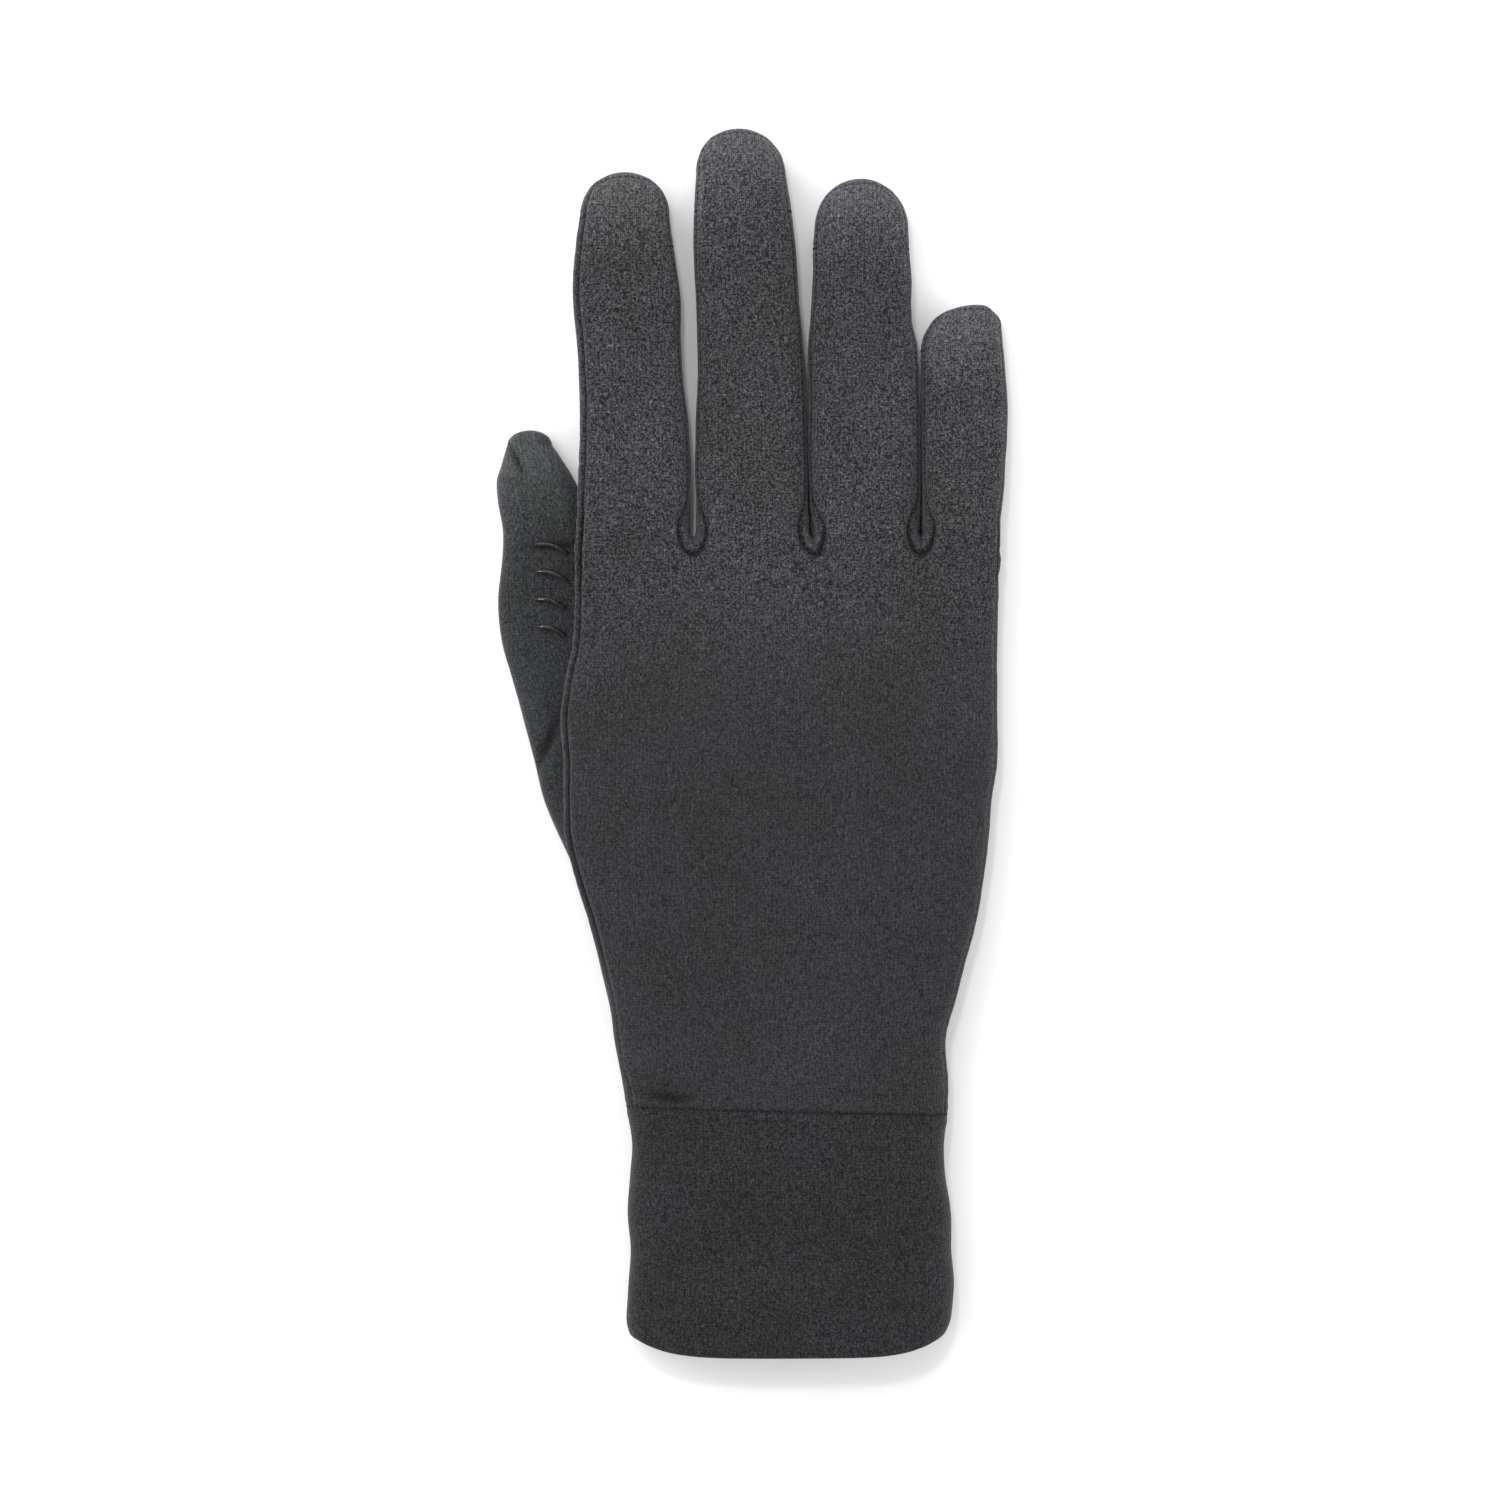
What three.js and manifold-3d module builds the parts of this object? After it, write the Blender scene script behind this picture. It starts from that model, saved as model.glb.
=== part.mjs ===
// A thin stretch-knit sports glove for the right hand, lying on its palm with its fingers up +Y.
// One skin is laid over the hand, finger by finger. It is cut into sewn panels along the seams, and
// each panel then gets its wall. The thumb is a tube of its own, tucked under the index side.
import * as THREE from 'three';
import { mergeVertices } from 'three/addons/utils/BufferGeometryUtils.js';
import Module from 'manifold-3d';

// Driving dimensions, in millimetres
const CUFF_LENGTH = 50.0;
const CUFF_WIDTH = 66.7;
const CUFF_THICK = 18.0;
const CUFF_WALL = 1.8;
const HEM_BOW = 3.9;
const WRIST_WIDTH = 65.1;
const WRIST_THICK = 18.0;
const PALM_LENGTH = 112.9;
const PALM_THICK = 19.0;
const KNUCKLE_THICK = 15.5;
const FINGER_THICK = 12.5;
const FINGER_CLEAR = 0.6;
const INDEX_LENGTH = 77.9;
const INDEX_WIDTH = 23.7;
const MIDDLE_LENGTH = 87.1;
const MIDDLE_WIDTH = 24.4;
const RING_LENGTH = 76.7;
const RING_WIDTH = 20.5;
const LITTLE_LENGTH = 51.3;
const LITTLE_WIDTH = 16.0;
const THUMB_LENGTH = 96.8;
const THUMB_WIDTH = 24.0;
const THUMB_THICK = 8.0;
const THUMB_DROP = 25.6;
const MOUTH_LENGTH = 23.6;
const MOUTH_WIDTH = 13.8;
const MOUTH_SHIFT = 2.6;
const KNIT_WALL = 1.0;
const SEAM_GAP = 0.3;
const EDGE_SEAM_INSET = 1.1;
const FOURCHETTE_INSET = 2.3;
const PALM_EDGE_TURN = 2.6;
const WEB_SEAM_DEPTH = 5.0;
const WEB_DEPTH = 1.2;
const LIFT_RAMP = 8.0;
const LIFT_MARGIN = 1.5;
const KNUCKLE_FADE = 18.0;
const GRIP_WIDTH = 0.9;
const GRIP_HEIGHT = 0.5;

// Shape shares and powers, which have no length of their own
const EDGE_SHARE = 0.44;
const LIFT_SHARE = 0.35;
const FLAT_SHARE = 1.08;
const FINGER_POWER = 2.2;
const PALM_POWER = 2.8;
const FINGER_SOLE_POWER = 4;
const PALM_SOLE_POWER = 6;
const THUMB_POWER = 2.6;
const HEM_POWER = 4.4;
const FOURCHETTE_END = 0.8;
const FOURCHETTE_TAPER = 0.25;
const MOUTH_ALONG = 0.246;
const SLIM_FROM = 0.8;

// Mesh counts
const STRIP_COLUMNS = 6;
const BAND_COLUMNS = 4;
const CUFF_ROWS = 5;
const PALM_ROWS = 12;
const WEB_ROWS = 3;
const FINGER_ROW_LENGTH = 9;
const THUMB_COLUMNS = 5;
const THUMB_ROWS = 12;
const MOUTH_SIDES = 24;
const GRIP_STEPS = 6;

const SKIN_COLOUR = 0x46464a;
const CUFF_COLOUR = 0x37373a;
const GRIP_COLOUR = 0x2c2c2e;

function table(columns, rows) {
  return rows.map((row) => Object.fromEntries(columns.map((name, i) => [name, row[i]])));
}

// Lengths along a finger, and its two sides from its own axis, are shares of its length and its
// width at the knuckle. full is the share of the thickness that the row keeps.
const FINGER_COLUMNS = ['along', 'left', 'right', 'full'];
const INDEX_ROWS = table(FINGER_COLUMNS, [
  [0.0, 0.5, 0.5, 1.0],
  [0.065, 0.487, 0.483, 1.0],
  [0.144, 0.474, 0.487, 1.0],
  [0.248, 0.457, 0.487, 1.0],
  [0.352, 0.457, 0.466, 1.0],
  [0.457, 0.466, 0.427, 1.0],
  [0.561, 0.479, 0.41, 1.0],
  [0.666, 0.513, 0.41, 1.0],
  [0.744, 0.517, 0.376, 0.99],
  [0.822, 0.491, 0.333, 0.97],
  [0.888, 0.457, 0.307, 0.95],
]);
const MIDDLE_ROWS = table(FINGER_COLUMNS, [
  [0.0, 0.5, 0.5, 1.0],
  [0.058, 0.496, 0.463, 1.0],
  [0.129, 0.492, 0.442, 1.0],
  [0.222, 0.5, 0.433, 1.0],
  [0.315, 0.492, 0.429, 1.0],
  [0.409, 0.479, 0.425, 1.0],
  [0.502, 0.488, 0.404, 1.0],
  [0.596, 0.496, 0.367, 1.0],
  [0.689, 0.51, 0.346, 0.99],
  [0.783, 0.51, 0.313, 0.98],
  [0.888, 0.483, 0.267, 0.95],
]);
const RING_ROWS = table(FINGER_COLUMNS, [
  [0.0, 0.5, 0.5, 1.0],
  [0.066, 0.549, 0.505, 1.0],
  [0.146, 0.579, 0.515, 1.0],
  [0.252, 0.584, 0.515, 1.0],
  [0.358, 0.589, 0.515, 1.0],
  [0.464, 0.594, 0.51, 1.0],
  [0.557, 0.6, 0.485, 1.0],
  [0.623, 0.574, 0.436, 1.0],
  [0.729, 0.545, 0.426, 0.99],
  [0.809, 0.54, 0.406, 0.97],
  [0.867, 0.53, 0.396, 0.95],
]);
const LITTLE_ROWS = table(FINGER_COLUMNS, [
  [0.0, 0.5, 0.5, 1.0],
  [0.099, 0.494, 0.5, 1.0],
  [0.218, 0.481, 0.538, 1.0],
  [0.377, 0.487, 0.564, 0.98],
  [0.536, 0.494, 0.595, 0.96],
  [0.694, 0.5, 0.583, 0.94],
  [0.813, 0.506, 0.551, 0.92],
  [0.873, 0.468, 0.538, 0.88],
  [0.913, 0.392, 0.519, 0.82],
  [0.948, 0.264, 0.487, 0.72],
]);

// The palm runs from the cuff seam to the knuckle seams, and its sides are shares of its own width.
const SIDE_COLUMNS = ['along', 'left', 'right'];
const PALM_SIDES = table(SIDE_COLUMNS, [
  [0.0, 0.505, 0.495],
  [0.054, 0.514, 0.49],
  [0.126, 0.524, 0.473],
  [0.198, 0.527, 0.492],
  [0.27, 0.541, 0.512],
  [0.342, 0.558, 0.532],
  [0.414, 0.58, 0.538],
  [0.486, 0.597, 0.54],
  [0.559, 0.594, 0.5375],
  [0.631, 0.581, 0.5425],
  [0.703, 0.573, 0.532],
  [0.775, 0.552, 0.522],
  [0.847, 0.5245, 0.512],
  [0.919, 0.512, 0.506],
  [1.0, 0.5, 0.5],
]);

// The cuff runs from its seam down to the hem.
const CUFF_SIDES = table(SIDE_COLUMNS, [
  [0.0, 0.505, 0.495],
  [0.15, 0.484, 0.486],
  [0.285, 0.486, 0.489],
  [0.447, 0.493, 0.505],
  [0.61, 0.482, 0.503],
  [0.772, 0.489, 0.51],
  [1.0, 0.496, 0.493],
]);

// The thumb runs from its base end to its tip. Its sides are shares of its width, left and right
// of the line where the index side of the palm is widest.
const THUMB_SECTIONS = table(FINGER_COLUMNS, [
  [0.042, -0.18, 0.66, 0.85],
  [0.074, -0.097, 0.784, 0.95],
  [0.137, 0.021, 0.886, 1.0],
  [0.221, 0.165, 0.869, 1.0],
  [0.305, 0.25, 0.792, 1.0],
  [0.389, 0.335, 0.682, 1.0],
  [0.473, 0.428, 0.555, 1.0],
  [0.557, 0.521, 0.42, 1.0],
  [0.641, 0.555, 0.318, 1.0],
  [0.725, 0.521, 0.25, 1.0],
  [0.788, 0.513, 0.225, 1.0],
  [0.847, 0.555, 0.182, 1.0],
  [0.893, 0.568, 0.097, 0.97],
  [0.922, 0.534, 0.03, 0.88],
  [0.952, 0.5, -0.047, 0.74],
  [0.969, 0.479, -0.097, 0.62],
]);

// Grip lines lie across the thumb, as shares of its length and width. bend is the arc's rise.
const GRIP_LINES = table(['along', 'from', 'to', 'slope', 'bend'], [
  [0.758, 0.24, -0.05, -0.08, 0.03],
  [0.7, 0.24, -0.05, -0.08, 0.03],
  [0.642, 0.24, -0.03, -0.08, 0.03],
  [0.584, 0.22, -0.03, -0.08, 0.03],
]);

const FINGERS = [
  { name: 'index', length: INDEX_LENGTH, width: INDEX_WIDTH, lean: 0, rows: INDEX_ROWS },
  { name: 'middle', length: MIDDLE_LENGTH, width: MIDDLE_WIDTH, lean: -0.025, rows: MIDDLE_ROWS },
  { name: 'ring', length: RING_LENGTH, width: RING_WIDTH, lean: 0, rows: RING_ROWS },
  { name: 'little', length: LITTLE_LENGTH, width: LITTLE_WIDTH, lean: 0.127, rows: LITTLE_ROWS },
];

// Places that follow from the sizes
const LAST = FINGERS.length - 1;
const CUFF_SEAM_Y = CUFF_LENGTH;
const KNUCKLE_Y = CUFF_LENGTH + PALM_LENGTH;
const FINGER_Y = KNUCKLE_Y + WEB_SEAM_DEPTH;
const WEB_Y = FINGER_Y - WEB_DEPTH;
const FINGER_WIDTHS = FINGERS.reduce((sum, finger) => sum + finger.width, 0);
const KNUCKLE_WIDTH = FINGER_WIDTHS + LAST * FINGER_CLEAR;
const THUMB_LIFT = THUMB_THICK + SEAM_GAP;

let edgeOfFinger = -KNUCKLE_WIDTH / 2;
for (const finger of FINGERS) {
  finger.axis = edgeOfFinger + finger.width / 2;
  finger.tipY = KNUCKLE_Y + finger.length;
  edgeOfFinger += finger.width + FINGER_CLEAR;
}

const { lerp, clamp } = THREE.MathUtils;

function smooth(t) {
  const held = clamp(t, 0, 1);
  return held * held * (3 - 2 * held);
}

function dome(across, power) {
  return Math.max(0, 1 - Math.abs(across) ** power) ** (1 / power);
}

// A smooth curve through one column of a table
function read(rows, column, along) {
  const last = rows.length - 1;
  let i = rows.findIndex((row) => row.along > along) - 1;
  if (along <= rows[0].along) i = 0;
  if (along >= rows[last].along) i = last - 1;
  const slope = (k) => {
    const before = rows[Math.max(k - 1, 0)];
    const after = rows[Math.min(k + 1, last)];
    return (after[column] - before[column]) / (after.along - before.along);
  };
  const start = rows[i];
  const end = rows[i + 1];
  const step = end.along - start.along;
  const t = clamp((along - start.along) / step, 0, 1);
  const t2 = t * t;
  const t3 = t2 * t;
  return (2 * t3 - 3 * t2 + 1) * start[column] + (t3 - 2 * t2 + t) * step * slope(i)
    + (3 * t2 - 2 * t3) * end[column] + (t3 - t2) * step * slope(i + 1);
}

// Thickness of the lying hand, from the hem to the fingertips
const CREST = [
  { y: 0, thick: CUFF_THICK },
  { y: CUFF_SEAM_Y, thick: WRIST_THICK },
  { y: CUFF_SEAM_Y + PALM_LENGTH * 0.55, thick: PALM_THICK },
  { y: KNUCKLE_Y, thick: KNUCKLE_THICK },
  { y: KNUCKLE_Y + LITTLE_LENGTH * 0.6, thick: FINGER_THICK },
];

function crest(y) {
  const last = CREST.length - 1;
  if (y >= CREST[last].y) return CREST[last].thick;
  const i = Math.max(CREST.findIndex((station) => station.y > y), 1);
  const start = CREST[i - 1];
  const end = CREST[i];
  return lerp(start.thick, end.thick, smooth((y - start.y) / (end.y - start.y)));
}

// Outer sides of the cuff and palm at a height y
function palmSides(y) {
  const inCuff = y < CUFF_SEAM_Y;
  const along = inCuff ? 1 - y / CUFF_LENGTH : (y - CUFF_SEAM_Y) / PALM_LENGTH;
  const rows = inCuff ? CUFF_SIDES : PALM_SIDES;
  const width = lerp(WRIST_WIDTH, inCuff ? CUFF_WIDTH : KNUCKLE_WIDTH, clamp(along, 0, 1));
  return { left: -width * read(rows, 'left', along), right: width * read(rows, 'right', along) };
}

// Line from the crotch between two fingers down through the palm
function division(k, y) {
  const sides = palmSides(Math.min(y, KNUCKLE_Y));
  const atKnuckle = FINGERS[k].axis + (FINGERS[k].width + FINGER_CLEAR) / 2;
  return lerp(sides.left, sides.right, atKnuckle / KNUCKLE_WIDTH + 0.5);
}

function fingerSides(k, y) {
  const finger = FINGERS[k];
  if (y >= KNUCKLE_Y) {
    const along = (y - KNUCKLE_Y) / finger.length;
    return {
      left: finger.axis - finger.width * read(finger.rows, 'left', along),
      right: finger.axis + finger.width * read(finger.rows, 'right', along),
      full: read(finger.rows, 'full', along),
    };
  }
  const sides = palmSides(y);
  return {
    left: k === 0 ? sides.left : division(k - 1, y),
    right: k === LAST ? sides.right : division(k, y),
    full: 1,
  };
}

// The thumb's place: it hangs from the line where the palm is widest on the index side
const THUMB_LINE_X = palmSides(CUFF_SEAM_Y + PALM_LENGTH * 0.559).left;
const THUMB_TIP_Y = KNUCKLE_Y + THUMB_DROP;
const THUMB_BASE_Y = THUMB_TIP_Y - THUMB_LENGTH;

function thumbSides(along) {
  return {
    left: THUMB_LINE_X - THUMB_WIDTH * read(THUMB_SECTIONS, 'left', along),
    right: THUMB_LINE_X + THUMB_WIDTH * read(THUMB_SECTIONS, 'right', along),
    full: read(THUMB_SECTIONS, 'full', along),
  };
}

// The surface that the hand lies on: the floor, and the thumb where it is tucked under
function ground(x, y) {
  const along = clamp((y - THUMB_BASE_Y) / THUMB_LENGTH, 0, 1);
  const rampEnd = thumbSides(along).right + LIFT_MARGIN + LIFT_RAMP;
  const across = smooth((rampEnd - x) / LIFT_RAMP);
  const above = smooth((THUMB_TIP_Y + LIFT_MARGIN + LIFT_RAMP - y) / LIFT_RAMP);
  const below = smooth((y - THUMB_BASE_Y + LIFT_MARGIN + LIFT_RAMP) / LIFT_RAMP);
  return THUMB_LIFT * across * above * below;
}

function crown(x, y, full) {
  return crest(y) * full + LIFT_SHARE * ground(x, y);
}

function edge(x, y, full) {
  const floor = ground(x, y);
  return floor + EDGE_SHARE * (crown(x, y, full) - floor);
}

// How far the finger domes have run into the one dome of the palm
function palmShare(y) {
  const left = 1 - clamp((FINGER_Y - y) / KNUCKLE_FADE, 0, 1);
  return 1 - left * left;
}

// Height of the skin over the plan point x, y. over is true for the back, false for the palm.
function height(over, k, x, y, end = 1) {
  const own = fingerSides(k, y);
  const whole = palmSides(Math.min(y, KNUCKLE_Y));
  const across = (x - (own.left + own.right) / 2) / ((own.right - own.left) / 2);
  const acrossPalm = (x - (whole.left + whole.right) / 2) / ((whole.right - whole.left) / 2);
  const ownDome = dome(across, over ? FINGER_POWER : FINGER_SOLE_POWER);
  const palmDome = dome(acrossPalm, over ? PALM_POWER : PALM_SOLE_POWER);
  const share = lerp(ownDome, palmDome, palmShare(y)) * end;
  const floor = ground(x, y);
  const side = edge(x, y, own.full);
  if (over) return side + (crown(x, y, own.full) - side) * share;
  return Math.max(floor, side - (side - floor) * FLAT_SHARE * share);
}

// A skin of quads with shared corners, each quad labelled with the panel that it belongs to
class Skin {
  constructor() {
    this.points = [];
    this.quads = [];
    this.known = new Map();
  }

  corner(point) {
    const key = point.toArray().map((value) => Math.round(value * 2000)).join();
    if (!this.known.has(key)) {
      this.known.set(key, this.points.length);
      this.points.push(point);
    }
    return this.known.get(key);
  }

  quad(points, panel) {
    const corners = points.map((point) => this.corner(point));
    if (new Set(corners).size > 2) this.quads.push({ corners, panel });
  }

  // Quads between two rows of points, which the label function names column by column
  band(lower, upper, label) {
    for (let i = 0; i + 1 < lower.length; i += 1) {
      this.quad([lower[i], lower[i + 1], upper[i + 1], upper[i]], label(i));
    }
  }

  normals() {
    const sums = this.points.map(() => new THREE.Vector3());
    for (const { corners } of this.quads) {
      const [a, b, c, d] = corners.map((corner) => this.points[corner]);
      const cross = c.clone().sub(a).cross(d.clone().sub(b));
      for (const corner of new Set(corners)) sums[corner].add(cross);
    }
    return sums.map((sum) => sum.normalize());
  }
}

// Directed edges of a panel that no other quad of the panel runs back along
function openEdges(quads) {
  const edges = new Map();
  for (const { corners } of quads) {
    corners.forEach((corner, i) => {
      const next = corners[(i + 1) % corners.length];
      if (corner !== next) edges.set(`${corner},${next}`, [corner, next]);
    });
  }
  return [...edges.values()].filter(([a, b]) => !edges.has(`${b},${a}`));
}

function triangles(corners) {
  const [a, b, c, d] = corners;
  return [[a, b, c], [a, c, d]].filter((face) => new Set(face).size === 3);
}

function meshGeometry(points, faces) {
  const geometry = new THREE.BufferGeometry();
  geometry.setAttribute('position', new THREE.Float32BufferAttribute(points.flatMap((p) => p.toArray()), 3));
  geometry.setIndex(faces.flat());
  geometry.computeVertexNormals();
  return geometry;
}

// One panel of the skin as a closed wall, drawn back from its seams by half the seam gap
function panelGeometry(skin, normals, panel, wall) {
  const own = skin.quads.filter((quad) => quad.panel === panel);
  const others = skin.quads.filter((quad) => quad.panel !== panel);
  const otherEdges = new Set();
  for (const { corners } of others) {
    corners.forEach((corner, i) => otherEdges.add(`${corners[(i + 1) % corners.length]},${corner}`));
  }
  const border = openEdges(own);
  const inward = new Map();
  for (const [a, b] of border) {
    if (otherEdges.has(`${a},${b}`)) {
      const along = skin.points[b].clone().sub(skin.points[a]);
      for (const corner of [a, b]) {
        const side = normals[corner].clone().cross(along).normalize();
        inward.set(corner, [...(inward.get(corner) ?? []), side]);
      }
    }
  }
  const place = new Map();
  const outer = [];
  const inner = [];
  for (const corner of new Set(own.flatMap((quad) => quad.corners))) {
    const point = skin.points[corner].clone();
    const sides = inward.get(corner) ?? [];
    if (sides.length === 1) point.addScaledVector(sides[0], SEAM_GAP / 2);
    if (sides.length > 1) {
      const sum = sides[0].clone().add(sides[1]);
      point.addScaledVector(sum, SEAM_GAP / 2 / (1 + sides[0].dot(sides[1])));
    }
    point.z = Math.max(point.z, 0);
    place.set(corner, outer.length);
    outer.push(point);
    inner.push(point.clone().addScaledVector(normals[corner], -wall));
  }
  const count = outer.length;
  const faces = [];
  for (const { corners } of own) {
    for (const face of triangles(corners.map((corner) => place.get(corner)))) {
      faces.push(face, [face[2] + count, face[1] + count, face[0] + count]);
    }
  }
  for (const [a, b] of border) {
    const [from, to] = [place.get(a), place.get(b)];
    faces.push([to, from, from + count], [to, from + count, to + count]);
  }
  return meshGeometry([...outer, ...inner], faces);
}

// Positions across a strip, closer together towards its two borders
const STRIP = Array.from({ length: STRIP_COLUMNS + 1 }, (_, j) => {
  const turn = Math.PI * (0.2 + 0.6 * (1 - j / STRIP_COLUMNS));
  return 0.5 + Math.cos(turn) / Math.cos(Math.PI * 0.2) / 2;
});

// Shares of the inset from the edge to a border, for the columns that turn round the edge
function edgeTurn(column) {
  const half = BAND_COLUMNS / 2;
  return 1 - Math.cos((Math.abs(column - half) / half) * (Math.PI / 2));
}

function strip(over, k, y, from, to, end) {
  return STRIP.map((share) => {
    const x = lerp(from, to, share);
    return new THREE.Vector3(x, y, height(over, k, x, y, end));
  });
}

// The columns between the back's border and the palm's border, round one side of a section
function sideBand(k, y, sideX, backInset, palmInset, towards, end) {
  const points = [];
  for (let column = 1; column < BAND_COLUMNS; column += 1) {
    const over = column < BAND_COLUMNS / 2;
    const inset = (over ? backInset : palmInset) * edgeTurn(column);
    const x = sideX + towards * inset;
    points.push(new THREE.Vector3(x, y, height(over, k, x, y, end)));
  }
  return points;
}

// Depth of the seams from the side of a finger: the strip between fingers narrows to the tip
function seamInset(k, isOuterSide, y) {
  if (isOuterSide) return EDGE_SEAM_INSET;
  const along = clamp((y - FINGER_Y) / (FINGERS[k].tipY - FINGER_Y) / FOURCHETTE_END, 0, 1);
  return lerp(FOURCHETTE_INSET, FOURCHETTE_INSET * FOURCHETTE_TAPER, along);
}

function palmRow(y, shift = () => 0) {
  const sides = palmSides(y);
  const stops = FINGERS.map((_, k) => (k === 0 ? sides.left : division(k - 1, y)));
  const row = { over: [], under: [] };
  FINGERS.forEach((_, k) => {
    const from = stops[k];
    const to = k === LAST ? sides.right : stops[k + 1];
    for (const [key, inset] of [['over', EDGE_SEAM_INSET], ['under', PALM_EDGE_TURN]]) {
      const start = k === 0 ? from + inset : from;
      const finish = k === LAST ? to - inset : to;
      row[key].push(strip(key === 'over', k, y, start, finish));
    }
  });
  row.right = sideBand(LAST, y, sides.right, EDGE_SEAM_INSET, PALM_EDGE_TURN, -1);
  row.left = sideBand(0, y, sides.left, EDGE_SEAM_INSET, PALM_EDGE_TURN, 1);
  const half = (sides.right - sides.left) / 2;
  const middle = (sides.right + sides.left) / 2;
  for (const point of [...row.over.flat(), ...row.under.flat(), ...row.left, ...row.right]) {
    point.y += shift((point.x - middle) / half);
  }
  return row;
}

// One closed loop of points: back from left to right, right side, palm back again, left side
function loop(row) {
  const over = row.over.flatMap((points, k) => (k === 0 ? points : points.slice(1)));
  const under = row.under.flatMap((points, k) => (k === 0 ? points : points.slice(1)));
  return [...over, ...row.right, ...under.reverse(), ...[...row.left].reverse(), over[0]];
}

// A finger's section at y, squeezed towards the tip by rise, which runs from 0 to 1
function fingerRow(k, y, rise) {
  const sides = fingerSides(k, y);
  const finger = FINGERS[k];
  const end = dome(rise, 2);
  const row = {};
  const slimness = Math.min(1, (sides.right - sides.left) / (finger.width * SLIM_FROM));
  const backLeft = seamInset(k, k === 0, y) * slimness;
  const backRight = seamInset(k, k === LAST, y) * slimness;
  const palmLeft = lerp(PALM_EDGE_TURN * slimness, backLeft, rise);
  const palmRight = lerp(PALM_EDGE_TURN * slimness, backRight, rise);
  row.over = [strip(true, k, y, sides.left + backLeft, sides.right - backRight, end)];
  row.under = [strip(false, k, y, sides.left + palmLeft, sides.right - palmRight, end)];
  row.right = sideBand(k, y, sides.right, backRight, palmRight, -1, end);
  row.left = sideBand(k, y, sides.left, backLeft, palmLeft, 1, end);
  if (rise > 0) {
    const half = (sides.right - sides.left) / 2;
    const middle = (sides.right + sides.left) / 2;
    const reach = finger.tipY - y;
    for (const point of [...row.over[0], ...row.under[0], ...row.left, ...row.right]) {
      const across = (point.x - middle) / half;
      const climb = rise * Math.sqrt(1 - (across * across) / 2);
      point.x = middle + half * across * Math.sqrt(1 - (rise * rise) / 2);
      point.x += finger.lean * finger.width * climb;
      point.y = y + reach * climb;
    }
  }
  return row;
}

function fingerRows(k) {
  const finger = FINGERS[k];
  const capY = KNUCKLE_Y + finger.length * finger.rows[finger.rows.length - 1].along;
  const steps = Math.max(2, Math.round((capY - FINGER_Y) / FINGER_ROW_LENGTH));
  const rows = [];
  for (let i = 0; i <= steps; i += 1) {
    const y = lerp(FINGER_Y, capY, i / steps);
    rows.push({ y, seam: false, ...fingerRow(k, y, 0) });
  }
  const seamRise = 1 - EDGE_SEAM_INSET / (finger.tipY - capY);
  for (const rise of [seamRise * 0.4, seamRise * 0.75, seamRise, 1]) {
    rows.push({ y: capY, seam: rise === 1, ...fingerRow(k, capY, rise) });
  }
  return rows;
}

// The points round the crotch between fingers k and k + 1, from one finger's side to the other's
function crotchRows(k, leftFinger, rightFinger) {
  const rows = [];
  const middle = division(k, KNUCKLE_Y);
  const leftX = leftFinger.sideX;
  const rightX = rightFinger.sideX;
  for (let i = -WEB_ROWS; i <= WEB_ROWS; i += 1) {
    const owner = i <= 0 ? k : k + 1;
    const side = i <= 0 ? leftFinger : rightFinger;
    const turn = (Math.abs(i) / WEB_ROWS) * (Math.PI / 2);
    const out = Math.sin(turn);
    const up = 1 - Math.cos(turn);
    const backX = lerp(middle, side.backX, out);
    const palmX = lerp(middle, side.palmX, out);
    const seamY = lerp(KNUCKLE_Y, FINGER_Y, up);
    const webX = lerp((leftX + rightX) / 2, side.sideX, out);
    const webY = lerp(WEB_Y, FINGER_Y, up);
    const webZ = edge(webX, webY, 1);
    const back = new THREE.Vector3(backX, seamY, height(true, owner, backX, seamY));
    const palm = new THREE.Vector3(palmX, seamY, height(false, owner, palmX, seamY));
    const points = [back];
    for (let column = 1; column < BAND_COLUMNS; column += 1) {
      const border = column < BAND_COLUMNS / 2 ? back : palm;
      const lean = (Math.abs(column - BAND_COLUMNS / 2) / (BAND_COLUMNS / 2)) * (Math.PI / 2);
      points.push(new THREE.Vector3(
        lerp(webX, border.x, 1 - Math.cos(lean)),
        lerp(webY, border.y, 1 - Math.cos(lean)),
        lerp(webZ, border.z, Math.sin(lean)),
      ));
    }
    points.push(palm);
    rows.push(points);
  }
  rows[0] = leftFinger.points;
  rows[2 * WEB_ROWS] = rightFinger.points;
  return rows;
}

function sideOfFinger(row, onRight) {
  const over = row.over[0];
  const under = row.under[0];
  const end = onRight ? over.length - 1 : 0;
  const band = onRight ? row.right : row.left;
  return {
    points: [over[end], ...band, under[end]],
    sideX: band[BAND_COLUMNS / 2 - 1].x,
    backX: over[end].x,
    palmX: under[end].x,
  };
}

const PANEL_BACK = 'back_panel';
const PANEL_PALM = 'palm_panel';
const PANEL_CUFF = 'cuff';
const fourchetteName = (k) => `fourchette_${FINGERS[k].name}_${FINGERS[k + 1].name}`;

function layCuffAndPalm(skin) {
  const hem = (across) => HEM_BOW * Math.abs(across) ** HEM_POWER;
  const backColumns = FINGERS.length * STRIP_COLUMNS;
  let lower = null;
  for (let i = 0; i <= CUFF_ROWS; i += 1) {
    const share = i / CUFF_ROWS;
    const row = palmRow(CUFF_SEAM_Y * share, (across) => (1 - share) * hem(across));
    const upper = loop(row);
    if (lower) skin.band(lower, upper, () => PANEL_CUFF);
    lower = upper;
  }
  for (let i = 1; i <= PALM_ROWS; i += 1) {
    const upper = loop(palmRow(lerp(CUFF_SEAM_Y, KNUCKLE_Y, i / PALM_ROWS)));
    skin.band(lower, upper, (column) => (column < backColumns ? PANEL_BACK : PANEL_PALM));
    lower = upper;
  }
}

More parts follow.
